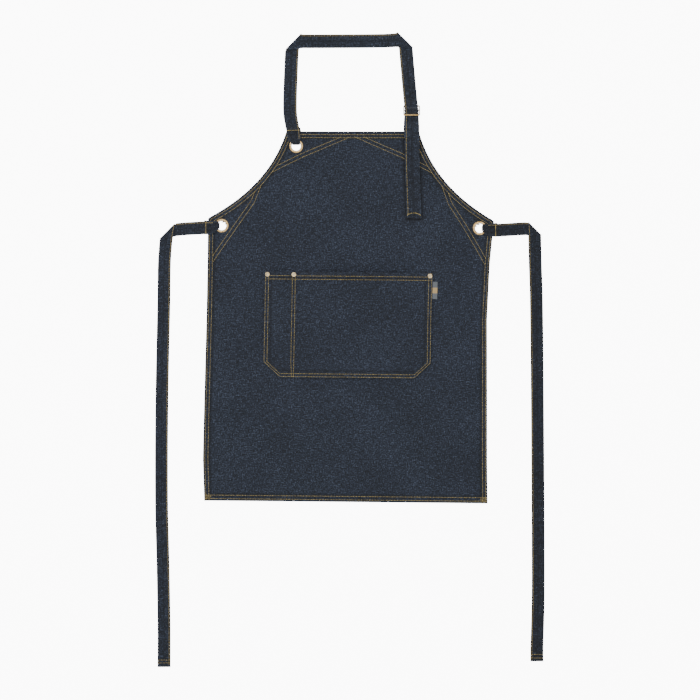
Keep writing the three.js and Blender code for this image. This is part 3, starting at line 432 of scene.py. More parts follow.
def finish(colour, roughness, bump=None, bump_depth=0.0004, fixed=None):
    """A material from a colour, a roughness, a height for its bumps and its fixed sockets."""
    tree = colour.tree
    sockets = {"Base Color": colour, "Roughness": roughness, **(fixed or {})}
    if bump is not None:
        sockets["Normal"] = bump.node("ShaderNodeBump", {}, {
            "Height": bump, "Distance": bump_depth, "Strength": 1.0})
    surface_shader = colour.node("ShaderNodeBsdfPrincipled", {}, sockets)
    output = tree.nodes.new("ShaderNodeOutputMaterial")
    tree.links.new(surface_shader.socket, output.inputs["Surface"])


def new_tree(name):
    material = bpy.data.materials.new(name)
    material.use_nodes = True
    material.node_tree.nodes.clear()
    return material, Shade(material.node_tree)


DENIM_TONES = ((7, 9, 14), (22, 28, 39), (58, 66, 82))
TWILL_PITCH = 0.0011


def denim(name, tone=1.0, worn=0.35, seams=True):
    """Navy twill: light and dark yarns, slubs both ways, roped hems, and painted shade in broad patches,
    beside hem steps, in gathers and in gaps.
    """
    material, start = new_tree(name)
    place = start.node("ShaderNodeUVMap", {"uv_map": "cloth"}, {})
    u = start.node("ShaderNodeSeparateXYZ", {}, {0: place}, 0)
    v = start.node("ShaderNodeSeparateXYZ", {}, {0: place}, 1)
    twill = ((u * 0.86 + v * 1.36) * (2 * math.pi / TWILL_PITCH)).sine() * 0.5 + 0.5
    mottle = place.noise(360, 3.0, 0.6).spread(0.3, 0.7)
    slub_up = place.stretched(620, 95).noise(1, 2.0).spread(0.3, 0.72)
    slub_across = place.stretched(80, 700).noise(1, 2.0).spread(0.3, 0.72)
    # Painted shade and light: broad patches that stand in for the shading of shallow ripples in the cloth
    ripple_shade = place.noise(9, 3.0, 0.5).spread(0.3, 0.7)
    shade = mottle * 0.4 + slub_up * 0.2 + slub_across * 0.22 + twill * 0.12 + ripple_shade * 0.06
    dark, middle, light = ((*(share * tone for share in paint(*colour)[:3]), 1) for colour in DENIM_TONES)
    colour = shade.spread(0.22, 0.52).tinted(dark, middle)
    colour = shade.spread(0.5, 0.82).over(colour, light)
    height = twill * 0.35 + slub_up * 0.25 + slub_across * 0.25 + mottle * 0.4
    if seams:
        edge = start.node("ShaderNodeAttribute", {"attribute_name": "edge"}, {}, 2)
        roping = place.noise(95, 1.0).spread(0.38, 0.62)
        band = edge.spread(11.5, 14.5, 1.0, 0.0)
        # Painted shade: a darker band just inside the step where the doubled cloth of a hem ends
        beside = edge.spread(12.0, 13.4) * edge.spread(14.0, 19.0, 1.0, 0.0)
        rim = edge.spread(0.6, 2.6, 1.0, 0.0)
        colour = (beside * 0.55).over(colour, dark)
        colour = (rim * roping * worn).over(colour, light)
        colour = (band * (1 - roping) * 0.35).over(colour, dark)
        height = height + band * roping * 0.9
        # Painted shade: darker in the valleys of gathered straps and in the gap beside the neck strap's free
        # end, read from the crease attribute
        crease = start.node("ShaderNodeAttribute", {"attribute_name": "crease"}, {}, 2)
        colour = (crease * 0.95).over(colour, dark)
    finish(colour, slub_up * 0.1 + 0.82, height, 0.0005,
           {"Sheen Weight": 0.12, "Sheen Roughness": 0.5, "Specular IOR Level": 0.22})
    return material


body_denim = denim("navy_denim")
body.data.materials.append(body_denim)


# Sewing thread
# Gold topstitching in a thick thread. Each seam is a line on the cloth, and one node tree sets a
# stitch at every pitch along it, slightly uneven, as a machine does.

STITCH_PITCH, STITCH_LENGTH, THREAD = 3.3, 2.8, 1.3
SEAM_LIFT = 0.12
THREAD_GOLD = (158, 139, 84)
THREAD_DARK = (104, 91, 52)

thread_paint, thread_start = new_tree("gold_thread")
thread_place = thread_start.node("ShaderNodeTexCoord", {}, {}, 3)
thread_tone = thread_place.noise(520, 1.0).spread(0.35, 0.65)
finish(thread_tone.tinted(paint(*THREAD_DARK), paint(*THREAD_GOLD)), thread_tone * 0.1 + 0.55,
       thread_place.noise(2600, 1.0), 0.00015, {"Specular IOR Level": 0.4})


def stitch_tree(material):
    """Geometry nodes that set a small rounded stitch at every pitch along the seams."""
    tree = bpy.data.node_groups.new("topstitching", "GeometryNodeTree")
    face = tree.interface
    face.new_socket("Geometry", in_out="INPUT", socket_type="NodeSocketGeometry")
    for label, size in (("Pitch", STITCH_PITCH), ("Stitch length", STITCH_LENGTH), ("Thread", THREAD)):
        face.new_socket(label, in_out="INPUT", socket_type="NodeSocketFloat").default_value = size * METRES
    face.new_socket("Geometry", in_out="OUTPUT", socket_type="NodeSocketGeometry")

    def add(kind, settings=(), **links):
        node = tree.nodes.new(kind)
        for key, value in settings:
            setattr(node, key, value)
        for key, value in links.items():
            socket = node.inputs[key.replace("_", " ")]
            if isinstance(value, bpy.types.NodeSocket):
                tree.links.new(value, socket)
            else:
                socket.default_value = value
        return node

    given = add("NodeGroupInput")
    line = add("GeometryNodeResampleCurve", [("mode", "LENGTH")],
               Curve=given.outputs["Geometry"], Length=given.outputs["Pitch"])
    stitch = add("GeometryNodeMeshUVSphere", Segments=6, Rings=5, Radius=0.5)
    size = add("ShaderNodeCombineXYZ", X=given.outputs["Stitch length"], Y=given.outputs["Thread"],
               Z=given.outputs["Thread"])
    shaped = add("GeometryNodeTransform", Geometry=stitch.outputs["Mesh"], Scale=size.outputs[0])
    smooth_shape = add("GeometryNodeSetShadeSmooth", Geometry=shaped.outputs["Geometry"])
    tangent = add("GeometryNodeInputTangent")
    heading = add("FunctionNodeAlignRotationToVector", [("axis", "X")], Vector=tangent.outputs[0])
    stray = add("FunctionNodeRandomValue", [("data_type", "FLOAT_VECTOR")], Seed=7)
    stray.inputs[0].default_value = (-0.04, -0.04, -0.07)
    stray.inputs[1].default_value = (0.04, 0.04, 0.07)
    swing = add("FunctionNodeEulerToRotation", Euler=stray.outputs[0])
    turned = add("FunctionNodeRotateRotation", Rotation=heading.outputs[0], Rotate_By=swing.outputs[0])
    length_change = add("FunctionNodeRandomValue", [("data_type", "FLOAT_VECTOR")], Seed=11)
    length_change.inputs[0].default_value = (0.86, 0.9, 0.9)
    length_change.inputs[1].default_value = (1.08, 1.08, 1.05)
    placed = add("GeometryNodeInstanceOnPoints", Points=line.outputs["Curve"],
                 Instance=smooth_shape.outputs["Geometry"], Rotation=turned.outputs[0],
                 Scale=length_change.outputs[0])
    real = add("GeometryNodeRealizeInstances", Geometry=placed.outputs["Instances"])
    coloured = add("GeometryNodeSetMaterial", Geometry=real.outputs["Geometry"], Material=material)
    add("NodeGroupOutput", Geometry=coloured.outputs["Geometry"])
    return tree


topstitching = stitch_tree(thread_paint)


def sewn(name, seams, pitch=STITCH_PITCH, length=STITCH_LENGTH, thread=THREAD):
    """One mesh of stitches along all the seams of a piece. A seam is points in millimetres."""
    lines = bpy.data.curves.new(name, "CURVE")
    lines.dimensions = "3D"
    for seam in seams:
        spline = lines.splines.new("POLY")
        spline.points.add(len(seam) - 1)
        flat = np.column_stack([np.asarray(seam) * METRES, np.ones(len(seam))])
        spline.points.foreach_set("co", flat.ravel())
    holder = bpy.data.objects.new(f"{name}_lines", lines)
    bpy.context.collection.objects.link(holder)
    maker = holder.modifiers.new("topstitching", "NODES")
    maker.node_group = topstitching
    sizes = {"Pitch": pitch, "Stitch length": length, "Thread": thread}
    for item in topstitching.interface.items_tree:
        if item.in_out == "INPUT" and item.name in sizes:
            maker[item.identifier] = sizes[item.name] * METRES
    evaluated = holder.evaluated_get(bpy.context.evaluated_depsgraph_get())
    mesh = bpy.data.meshes.new_from_object(evaluated)
    mesh.name = name
    stitches = bpy.data.objects.new(name, mesh)
    bpy.context.collection.objects.link(stitches)
    bpy.data.objects.remove(holder)
    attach(stitches, "root")
    return stitches


def densely(points, spacing=4):
    """Points close together along a line that is given by a few."""
    points = np.asarray(points, float)
    steps = np.r_[0, np.cumsum(np.linalg.norm(np.diff(points, axis=0), axis=1))]
    at = np.linspace(0, steps[-1], max(2, int(steps[-1] / spacing) + 1))
    return np.column_stack([np.interp(at, steps, points[:, k]) for k in range(points.shape[1])])


def seam_on(level, pattern_points):
    flat = densely(pattern_points)
    return surface(level, flat[:, 0], flat[:, 1], SEAM_LIFT)


SEAM_INSETS = {
    "outer": {"side": 4.0, "armhole": 5.1, "top": 6.8, "bottom": 4.7},
    "inner": {"side": 10.4, "armhole": 11.4, "top": 13.3, "bottom": 12.0},
}
END_INSET = 2.4
body_seams = []
for inset in SEAM_INSETS.values():
    heights = np.linspace(-SKIRT_LENGTH + END_INSET, BIB_HEIGHT - END_INSET, 160)
    aside = side_at(heights, inset["side"], inset["armhole"])
    for mirror in (-1, 1):
        body_seams.append(seam_on(body_top, np.column_stack([mirror * aside, heights])))
    for height in (-SKIRT_LENGTH + inset["bottom"], BIB_HEIGHT - inset["top"]):
        reach = float(side_at(height)) - END_INSET
        body_seams.append(seam_on(body_top, [(-reach, height), (reach, height)]))

FACING_SEAMS = (3.2, 11)
for bib in (True, False):
    line = facing_line(bib)
    along = np.diff(line, axis=0)
    along /= np.linalg.norm(along, axis=1)[:, None]
    inward = np.column_stack([-along[:, 1], along[:, 0]])
    bend = (inward[0] + inward[1]) / (1 + inward[0] @ inward[1])
    for inset in FACING_SEAMS:
        shifted = densely(np.array([
            line[0] + inset * (inward[0] - 2 * along[0]), line[1] + inset * bend,
            line[2] + inset * (inward[1] + 2 * along[1])]), 2)
        inside = edge_distance(shifted[:, 0], shifted[:, 1]) > HEM["armhole"] - 1.5
        for mirror in (-1, 1):
            body_seams.append(seam_on(body_top, shifted[inside] * (mirror, 1)))

body_stitches = sewn("body_stitches", body_seams)

# Dense bars where the hems cross at the foot of the skirt
CORNER_BARS, CORNER_BAR, BAR_PITCH, BAR_SLANT = 4, 11, 2.1, 0.8
BAR_IN, BAR_UP = 3.4, 4.2
corner_bars = []
reach = HEM_HALF - BAR_IN
for mirror in (-1, 1):
    for step in range(CORNER_BARS):
        low = -SKIRT_LENGTH + BAR_UP + BAR_PITCH * step
        corner_bars.append(seam_on(body_top, [
            (mirror * reach, low), (mirror * (reach - CORNER_BAR), low + BAR_SLANT)]))
body_bars = sewn("body_corner_bars", corner_bars, pitch=2.2, length=2.3, thread=0.9)

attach(body, "root")
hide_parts("panel")


# Reinforcements
# Triangles of the same denim behind the four corners, their edges caught under the hems and their
# slanting sides sewn through with two rows. They show only from behind.

FACING_CLOTH, ABOVE_TABLE = 1.0, 0.02
FACING_STEPS = (30, 22)
FACING_INSET = {edge: width + 1.1 for edge, width in HEM.items()}
facing_denim = denim("navy_denim_back", tone=0.85, seams=False)


def facing_grid(bib):
    """The reinforcement on the right, from its slanting side out to the hems at the corner."""
    line = densely(facing_line(bib), 1)
    clear = side_at(line[:, 1], FACING_INSET["side"], FACING_INSET["armhole"])
    top = BIB_HEIGHT - FACING_INSET["top"]
    kept = line[(line[:, 1] < top) & (line[:, 0] < clear)]
    heights = np.linspace(top if bib else kept[0, 1], kept[-1, 1], 40)
    outer = side_at(heights, FACING_INSET["side"], FACING_INSET["armhole"])
    rim = densely(np.concatenate([kept[:1], np.column_stack([outer, heights])]), 1)
    inner_line, outer_line = (
        np.column_stack([np.interp(np.linspace(0, len(points) - 1, FACING_STEPS[0]),
                                   np.arange(len(points)), points[:, k]) for k in (0, 1)])
        for points in (kept, rim))
    out = np.linspace(0, 1, FACING_STEPS[1])[:, None, None]
    return inner_line * (1 - out) + outer_line * out


def facing_level(x, y):
    return raised(x, y) + rumple(x, y)


for name, eyelet in EYELETS.items():
    grid = facing_grid(eyelet["out"][1] > 0)
    mirror = np.sign(eyelet["flat"][0])
    slant = grid[0, -1] - grid[0, 0]
    slant_length = float(np.linalg.norm(slant))
    away = grid - grid[0, 0]
    depth = float(np.abs(slant[0] * away[..., 1] - slant[1] * away[..., 0]).max()) / slant_length
    grid = grid * (mirror, 1)
    open_point = np.hypot(*(grid[..., k] - eyelet["flat"][k] for k in (0, 1))) < HOLE_IN_CLOTH + GAP
    keep = ~(open_point[:-1, :-1] | open_point[1:, :-1] | open_point[:-1, 1:] | open_point[1:, 1:])
    top, under = (surface(facing_level, grid[..., 0], grid[..., 1], lift)
                  for lift in (FACING_CLOTH, ABOVE_TABLE))
    if mirror > 0:
        top, under, grid, keep = top[::-1], under[::-1], grid[::-1], keep[::-1]
    facing = sheet_mesh(f"reinforcement_{name}", top, under, grid, {}, keep)
    facing.data.materials.append(facing_denim)
    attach(facing, "root")
    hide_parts(f"facing_{name}")
    across, down = grid[1:, 1:] - grid[:-1, :-1], grid[:-1, 1:] - grid[1:, :-1]
    cells = np.abs(across[..., 0] * down[..., 1] - across[..., 1] * down[..., 0]) / 2
    float(cells[keep].sum()) * METRES ** 2


# Pocket
# A patch of the same denim, sewn to the skirt along its sides, its bottom and one upright divider,
# with a doubled mouth and two cut-off bottom corners. It stands a little proud between its seams.

POCKET_WIDTH, POCKET_HEIGHT, POCKET_DROP, POCKET_ASIDE = 356, 223, 112, -2
POCKET_CUT_ACROSS, POCKET_CUT_UP = 36, 33
POCKET_EDGE, MOUTH_HEM, PEN_WIDTH = 11, 17.5, 61.5
POCKET_GAPE, PEN_GAPE = 6.6, 5.2
POCKET_BASE = CLOTH + 0.12
RIVET_INSET = 5.7
FOLD_STEP = 0.7
# The two bags stand proud between these places, in from the side seams and out from the divider
BAG_INSET, BAG_FROM_DIVIDER = 11.5, 5.8
POCKET_TOP = -POCKET_DROP
POCKET_BOTTOM = POCKET_TOP - POCKET_HEIGHT
POCKET_LEFT = POCKET_ASIDE - POCKET_WIDTH / 2
POCKET_RIGHT = POCKET_LEFT + POCKET_WIDTH
DIVIDER = POCKET_LEFT + PEN_WIDTH
ACROSS_SHARE = [0, 0.12, 0.3, 0.5, 0.7, 0.88, 1]
ACROSS_RISE = [0, 0.5, 0.92, 1, 0.92, 0.5, 0]
DOWN_SHARE = [0, 0.12, 0.26, 0.42, 0.6, 0.78, 0.92]
DOWN_RISE = [1, 0.97, 0.86, 0.58, 0.26, 0.06, 0]


def narrowed(x, y):
    """Takes the pocket in beside its two cut-off corners."""
    up = np.clip((y - POCKET_BOTTOM) / POCKET_CUT_UP, 0, 1)
    cut = POCKET_CUT_ACROSS * (1 - up)
    room = np.where(x < DIVIDER, DIVIDER - POCKET_LEFT - POCKET_EDGE, POCKET_RIGHT - POCKET_EDGE - DIVIDER)
    share = np.minimum(np.abs(DIVIDER - x) / room, 1)
    return x + share * cut * np.sign(DIVIDER - x)


def pocket_rise(x, y):
    """How far the two bags stand proud of their seams."""
    down = np.interp((POCKET_TOP - y) / POCKET_HEIGHT, DOWN_SHARE, DOWN_RISE)
    rise = 0 * x
    for low, high, gape in (
        (POCKET_LEFT + BAG_INSET, DIVIDER - BAG_FROM_DIVIDER, PEN_GAPE),
        (DIVIDER + BAG_FROM_DIVIDER, POCKET_RIGHT - BAG_INSET, POCKET_GAPE),
    ):
        across = np.interp((x - low) / (high - low), ACROSS_SHARE, ACROSS_RISE)
        rise = rise + gape * down * across * (x > low) * (x < high)
    return rise


def pocket_creases(x, y):
    """Soft creases that run down from the mouth, with a long one that slants across the pocket."""
    slant = np.exp(-(((x + 10) * 0.8 + (y + 210) * 0.35) / 16) ** 2)
    inside = smooth(x - POCKET_LEFT, 12, 40) * smooth(POCKET_RIGHT - x, 12, 40)
    inside = inside * smooth(y - POCKET_BOTTOM, 12, 50)
    return inside * smooth(np.abs(x - DIVIDER), 6, 26) * (
        0.45 * np.sin(x / 11 + y / 60) + 0.3 * np.sin(x / 19 - y / 27 + 1) - 0.7 * slant)


def pocket_level(x, y, top):
    """The front or the back of the pocket: doubled at its edges, drawn in along its seams."""
    edge = np.minimum.reduce([x - POCKET_LEFT, POCKET_RIGHT - x, y - POCKET_BOTTOM])
    mouth = POCKET_TOP - y
    single = smooth(edge, POCKET_EDGE - FOLD_STEP, POCKET_EDGE + FOLD_STEP)
    double = 1 - single * smooth(mouth, MOUTH_HEM - FOLD_STEP, MOUTH_HEM + FOLD_STEP)
    sewn_down = sum(np.exp(-((edge - row) / 1.2) ** 2) for row in (2.0, 8.2))
    sewn_down = sewn_down + sum(np.exp(-((x - DIVIDER - row) / 1.2) ** 2) for row in (-3.1, 3.1))
    level = POCKET_BASE + pocket_rise(x, y) + np.maximum(pocket_creases(x, y), -0.6) * 0.8
    level = np.maximum(level, POCKET_BASE)
    if top:
        rounded = 0.5 * (1 - smooth(np.minimum(edge, mouth), -0.4, 1.8))
        level = level + CLOTH + CLOTH * double - rounded - 0.3 * sewn_down * double
    return level


POCKET_STEPS, POCKET_SPACING = [0, 0.7, 1.8, 3.2, 5, 6.8, 8.2, 9.6, 10.9, 12.4], 4
DIVIDER_STEPS = (-5, -3.1, -1.5, 0, 1.5, 3.1, 5)
pocket_rows = stepped(POCKET_BOTTOM, POCKET_TOP, [*POCKET_STEPS, 15.5, 18.5], POCKET_SPACING)
pocket_columns = np.array(sorted({
    *stepped(POCKET_LEFT, POCKET_RIGHT, POCKET_STEPS, POCKET_SPACING).round(2),
    *(round(DIVIDER + step, 2) for step in DIVIDER_STEPS)}))
pocket_x, pocket_y = np.meshgrid(pocket_columns, pocket_rows)


def pocket_surface(x, y, top, lift=0):
    across = narrowed(x, y)
    laid_x, laid_y = lay(across, y)
    return np.stack([laid_x, laid_y, pocket_level(x, y, top) + rumple(across, y) + lift], axis=-1)


pocket_edge = np.minimum.reduce([
    pocket_x - POCKET_LEFT, POCKET_RIGHT - pocket_x, pocket_y - POCKET_BOTTOM, POCKET_TOP - pocket_y + 1.5])
pocket = sheet_mesh(
    "pocket_cloth", pocket_surface(pocket_x, pocket_y, True), pocket_surface(pocket_x, pocket_y, False),
    np.stack([pocket_x + 800, pocket_y], axis=-1), {"edge": pocket_edge})
pocket.data.materials.append(body_denim)

SIDE_ROWS, MOUTH_ROWS, DIVIDER_ROWS = (2.0, 8.2), (8.2, 15.3), (-3.1, 3.1)
ROW_END = 2
row_top, row_foot = POCKET_TOP - ROW_END, POCKET_BOTTOM + ROW_END
corner_level = POCKET_BOTTOM + POCKET_CUT_UP
pocket_lines = []
for inset in SIDE_ROWS:
    row_left, row_right, low = POCKET_LEFT + inset, POCKET_RIGHT - inset, POCKET_BOTTOM + inset
    pocket_lines.append([
        (row_left, row_top), (row_left, corner_level), (row_left, low),
        (row_right, low), (row_right, corner_level), (row_right, row_top)])
for drop in MOUTH_ROWS:
    pocket_lines.append([(x, POCKET_TOP - drop) for x in (POCKET_LEFT + ROW_END, POCKET_RIGHT - ROW_END)])
for aside in DIVIDER_ROWS:
    pocket_lines.append([(DIVIDER + aside, row_top), (DIVIDER + aside, row_foot)])
pocket_seams = [pocket_surface(*densely(line).T, True, SEAM_LIFT) for line in pocket_lines]
pocket_stitches = sewn("pocket_stitches", pocket_seams)

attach(pocket, "root")
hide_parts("pocket")


# Woven tape
# A short grey tape with a plain gold stripe, folded double and caught in the right seam of the
# pocket by its raw ends.

TAPE_OUT, TAPE_LENGTH, TAPE_DROP, TAPE_THICK = 10.9, 36.5, 18, 0.45
TAPE_GREY, TAPE_GREY_DARK, TAPE_GOLD = (92, 96, 100), (58, 62, 68), (158, 132, 84)

turn = np.linspace(-math.pi / 2, math.pi / 2, 9)
fold_radius = (1.1 - TAPE_THICK) / 2
tape_run = [(0.0, -fold_radius)] + [(TAPE_OUT - fold_radius - TAPE_THICK / 2 + fold_radius * math.cos(a),
                                     fold_radius * math.sin(a)) for a in turn] + [(0.0, fold_radius)]
tape_run = densely(tape_run, 0.6)
tape_normal = np.gradient(tape_run, axis=0)
tape_normal = np.column_stack([tape_normal[:, 1], -tape_normal[:, 0]])
tape_normal /= np.linalg.norm(tape_normal, axis=1)[:, None]
tape_across = np.linspace(0, TAPE_LENGTH, 30)
tape_along = np.r_[0, np.cumsum(np.linalg.norm(np.diff(tape_run, axis=0), axis=1))]


def tape_side(offset):
    run = tape_run + offset * tape_normal
    x = POCKET_RIGHT + GAP + run[:, 0][:, None] + 0 * tape_across
    y = POCKET_TOP - TAPE_DROP - tape_across + 0 * run[:, 0][:, None]
    laid_x, laid_y = lay(x, y)
    z = POCKET_BASE + GAP + 0.55 + run[:, 1][:, None] + rumple(x, y)
    return np.stack([laid_x, laid_y, z], axis=-1)


tape_uv = np.stack(np.meshgrid(tape_across, tape_along), axis=-1)
tape = sheet_mesh("side_tape", tape_side(TAPE_THICK / 2), tape_side(-TAPE_THICK / 2), tape_uv)
tape_weave, tape_start = new_tree("grey_tape")
tape_place = tape_start.node("ShaderNodeUVMap", {"uv_map": "cloth"}, {})
tape_u = tape_start.node("ShaderNodeSeparateXYZ", {}, {0: tape_place}, 0)
tape_ribs = (tape_u * (2 * math.pi / 0.0007)).sine() * 0.5 + 0.5
tape_fibre = tape_place.noise(1500, 2.0).spread(0.3, 0.7)
middle = TAPE_LENGTH * METRES / 2
STRIPE_IN, STRIPE_OUT = 0.0056, 0.0062
stripe = tape_u.spread(middle - STRIPE_OUT, middle - STRIPE_IN)
stripe = stripe * tape_u.spread(middle + STRIPE_IN, middle + STRIPE_OUT, 1.0, 0.0)
tape_colour = (tape_fibre * 0.6 + tape_ribs * 0.4).tinted(paint(*TAPE_GREY_DARK), paint(*TAPE_GREY))
tape_colour = (stripe * 0.85).over(tape_colour, paint(*TAPE_GOLD))
finish(tape_colour, tape_fibre * 0.1 + 0.7, tape_ribs * 0.7 + tape_fibre * 0.3, 0.0002,
       {"Sheen Weight": 0.1})
tape.data.materials.append(tape_weave)
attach(tape, "root")
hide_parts("side_tab")


# Rivets
# Pressed through the mouth of the pocket at both seams and at the divider: a satin cap with a rolled
# rim and a dimpled middle on a thin shank, and a flat burr behind.

RIVET_METAL, RIVET_SHADE = (214, 196, 160), (120, 100, 66)
RIVET_FOOT = POCKET_BASE + 0.18 + 2 * CLOTH + GAP
RIVETS = {"left": POCKET_LEFT + RIVET_INSET, "divider": DIVIDER, "right": POCKET_RIGHT - RIVET_INSET}


def metal(name, bright, deep, rough):
    """Plated metal, with a soft tarnish and fine hairlines."""
    material, start = new_tree(name)
    place = start.node("ShaderNodeTexCoord", {}, {}, 3)
    tarnish = place.noise(260, 3.0).spread(0.38, 0.68)
    hairs = place.stretched(1, 9).noise(900, 2.0).spread(0.3, 0.7)
    colour = (tarnish * 0.55 + hairs * 0.15).tinted(paint(*bright), paint(*deep))
    finish(colour, tarnish * 0.2 + hairs * 0.08 + rough, hairs, 0.00003, {"Metallic": 1.0})
    return material


def turned(name, profile, place, sides, material):
    """Metal turned about an upright axis from (radius, height) pairs, closed on the axis or itself."""
    points, faces = [], []
    angles = 2 * math.pi * np.arange(sides) / sides
    rings = []
    for radius, height in profile:
        if radius == 0:
            rings.append([len(points)])
            points.append((place[0], place[1], height))
        else:
            rings.append(list(range(len(points), len(points) + sides)))
            points.extend(
                (place[0] + radius * math.cos(a), place[1] + radius * math.sin(a), height) for a in angles)
    for low, high in zip(rings, rings[1:]):
        for k in range(sides):
            n = (k + 1) % sides
            if len(low) == 1:
                faces.append((low[0], high[n], high[k]))
            elif len(high) == 1:
                faces.append((low[k], low[n], high[0]))
            else:
                faces.append((low[k], low[n], high[n], high[k]))
    piece = piece_of(name, points, faces, np.asarray(points)[:, :2])
    face_outwards(piece.data, weld=True)
    piece.data.materials.append(material)
    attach(piece, "root")
    return piece


rivet_metal = metal("satin_rivet_metal", RIVET_METAL, RIVET_SHADE, 0.26)
for name, x in RIVETS.items():
    y = POCKET_TOP - RIVET_INSET
    place = [float(v) for v in lay(np.float64(x), np.float64(y))]
    foot = RIVET_FOOT
    rivet = turned(f"rivet_cap_{name}", [
        (0, 0.03), (3.7, 0.03), (3.9, 0.2), (3.7, 0.4), (1.2, 0.4), (1.2, foot), (4.6, foot),
        (5.0, foot + 0.25), (5.0, foot + 0.7), (4.8, foot + 1.2), (4.35, foot + 1.6), (3.8, foot + 1.75),
        (3.3, foot + 1.62), (3.0, foot + 1.3), (2.7, foot + 1.02), (2.2, foot + 0.98), (1.7, foot + 1.15),
        (1.3, foot + 1.5), (0.7, foot + 1.66), (0, foot + 1.7),
    ], place, 40, rivet_metal)
    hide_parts(f"rivet_{name}")


# Eyelets
# Large brass eyelets: a rolled ring in front, a barrel through both cloths and a flat ring behind.

EYELET_RADIUS, EYELET_HOLE, EYELET_WALL = 14.6, 9.5, 0.8
RING, BACK_RING, GATHERED = 1.2, 0.8, 1.8 * 1.33
BACK_LOW = GATHERED + GAP
BACK_TOP = BACK_LOW + BACK_RING
RING_LOW = RAISED + HEM_CLOTH + GAP
RING_TOP = RING_LOW + RING
brass = metal("worn_brass", (180, 152, 106), (70, 52, 28), 0.24)

barrel = EYELET_HOLE + EYELET_WALL
crown = np.linspace(0, math.pi, 13)
roll_middle, roll_half = (EYELET_RADIUS + EYELET_HOLE) / 2, (EYELET_RADIUS - EYELET_HOLE) / 2
roll = [(roll_middle + roll_half * math.cos(a), RING_LOW + 0.2 + (RING - 0.2) * math.sin(a) ** 0.8)
        for a in crown]
for name, eyelet in EYELETS.items():
    x, y = (np.float64(v) for v in eyelet["flat"])
    place = [float(v) for v in lay(x, y)]
    eyelet["at"] = np.array(place)
    profile = [
        (EYELET_HOLE, BACK_LOW + 0.2), (EYELET_HOLE + 0.3, BACK_LOW), (EYELET_RADIUS - 0.3, BACK_LOW),
        (EYELET_RADIUS, BACK_LOW + 0.25), (EYELET_RADIUS - 0.2, BACK_TOP), (barrel, BACK_TOP),
        (barrel, RING_LOW), (EYELET_RADIUS - 0.35, RING_LOW),
        *roll, (EYELET_HOLE, BACK_LOW + 0.2)]
    ring = turned(f"brass_eyelet_{name}", profile, place, 72, brass)
    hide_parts(f"eyelet_{name}")


# Waist ties
# Denim folded to four layers and topstitched along one edge. Each goes up through its eyelet, back
# over the hem to a bar of stitches, and down beside the skirt after one slanting fold.

STRAP_WIDTH, TIE_WIDTH, STRAP, LAYER = 29.2, 27.6, 1.8, 2.1
RETURN_PAST, RETURN_PEEK, FOLD_GAP = 8, 2, 0.4
TIE_OUT = 116
SECOND_LAYER = STRAP + STRAP / 2 + FOLD_GAP
TIES = {
    "left": {
        "drop": 921, "mirror": 1, "tone": 0.98, "crease": (1.15, 2),
        "across": ([0.08, 0.17, 0.32, 0.77, 1], [0, -0.16, -0.16, -0.275, -0.42]),
        "down": ([0, 0.066, 0.16, 0.39, 0.62, 0.77, 0.91, 1],
                 [0, -0.18, -0.23, -0.38, -0.405, -0.29, -0.215, -0.215]),
    },
    "right": {
        "drop": 913, "mirror": -1, "tone": 0.74, "crease": (1, 0),
        "across": ([0.08, 0.12, 0.32, 0.82, 1], [0, 0.12, 0.15, 0.03, 0.07]),
        "down": ([0, 0.071, 0.16, 0.4, 0.7, 0.86, 0.97, 1],
                 [0, 0.05, 0.14, 0.22, 0.275, 0.275, 0.18, 0.18]),
    },
}


def softly(table, at):
    """Interpolation that is rounded through the rows of a table."""
    keys, values = (np.asarray(column, float) for column in table)
    if at <= keys[0]:
        return values[0]
    if at >= keys[-1]:
        return values[-1]
    i = int(np.searchsorted(keys, at))
    span = keys[i] - keys[i - 1]
    t = (at - keys[i - 1]) / span

    def slope(k):
        low, high = max(k - 1, 0), min(k + 1, len(keys) - 1)
        return (values[high] - values[low]) / (keys[high] - keys[low])

    rise = t * t * (3 - 2 * t)
    return (values[i - 1] * (1 - rise) + values[i] * rise
            + span * (slope(i - 1) * t * (1 - t) ** 2 - slope(i) * t * t * (1 - t)))


def station(place, level, side, half, thick=STRAP):
    """A place on a strap: its middle, its level, the way across it, half its width, its thickness."""
    return np.array([place[0], place[1], level, side[0] * half, side[1] * half, thick])


def right_of(way):
    return np.array((way[1], -way[0]))


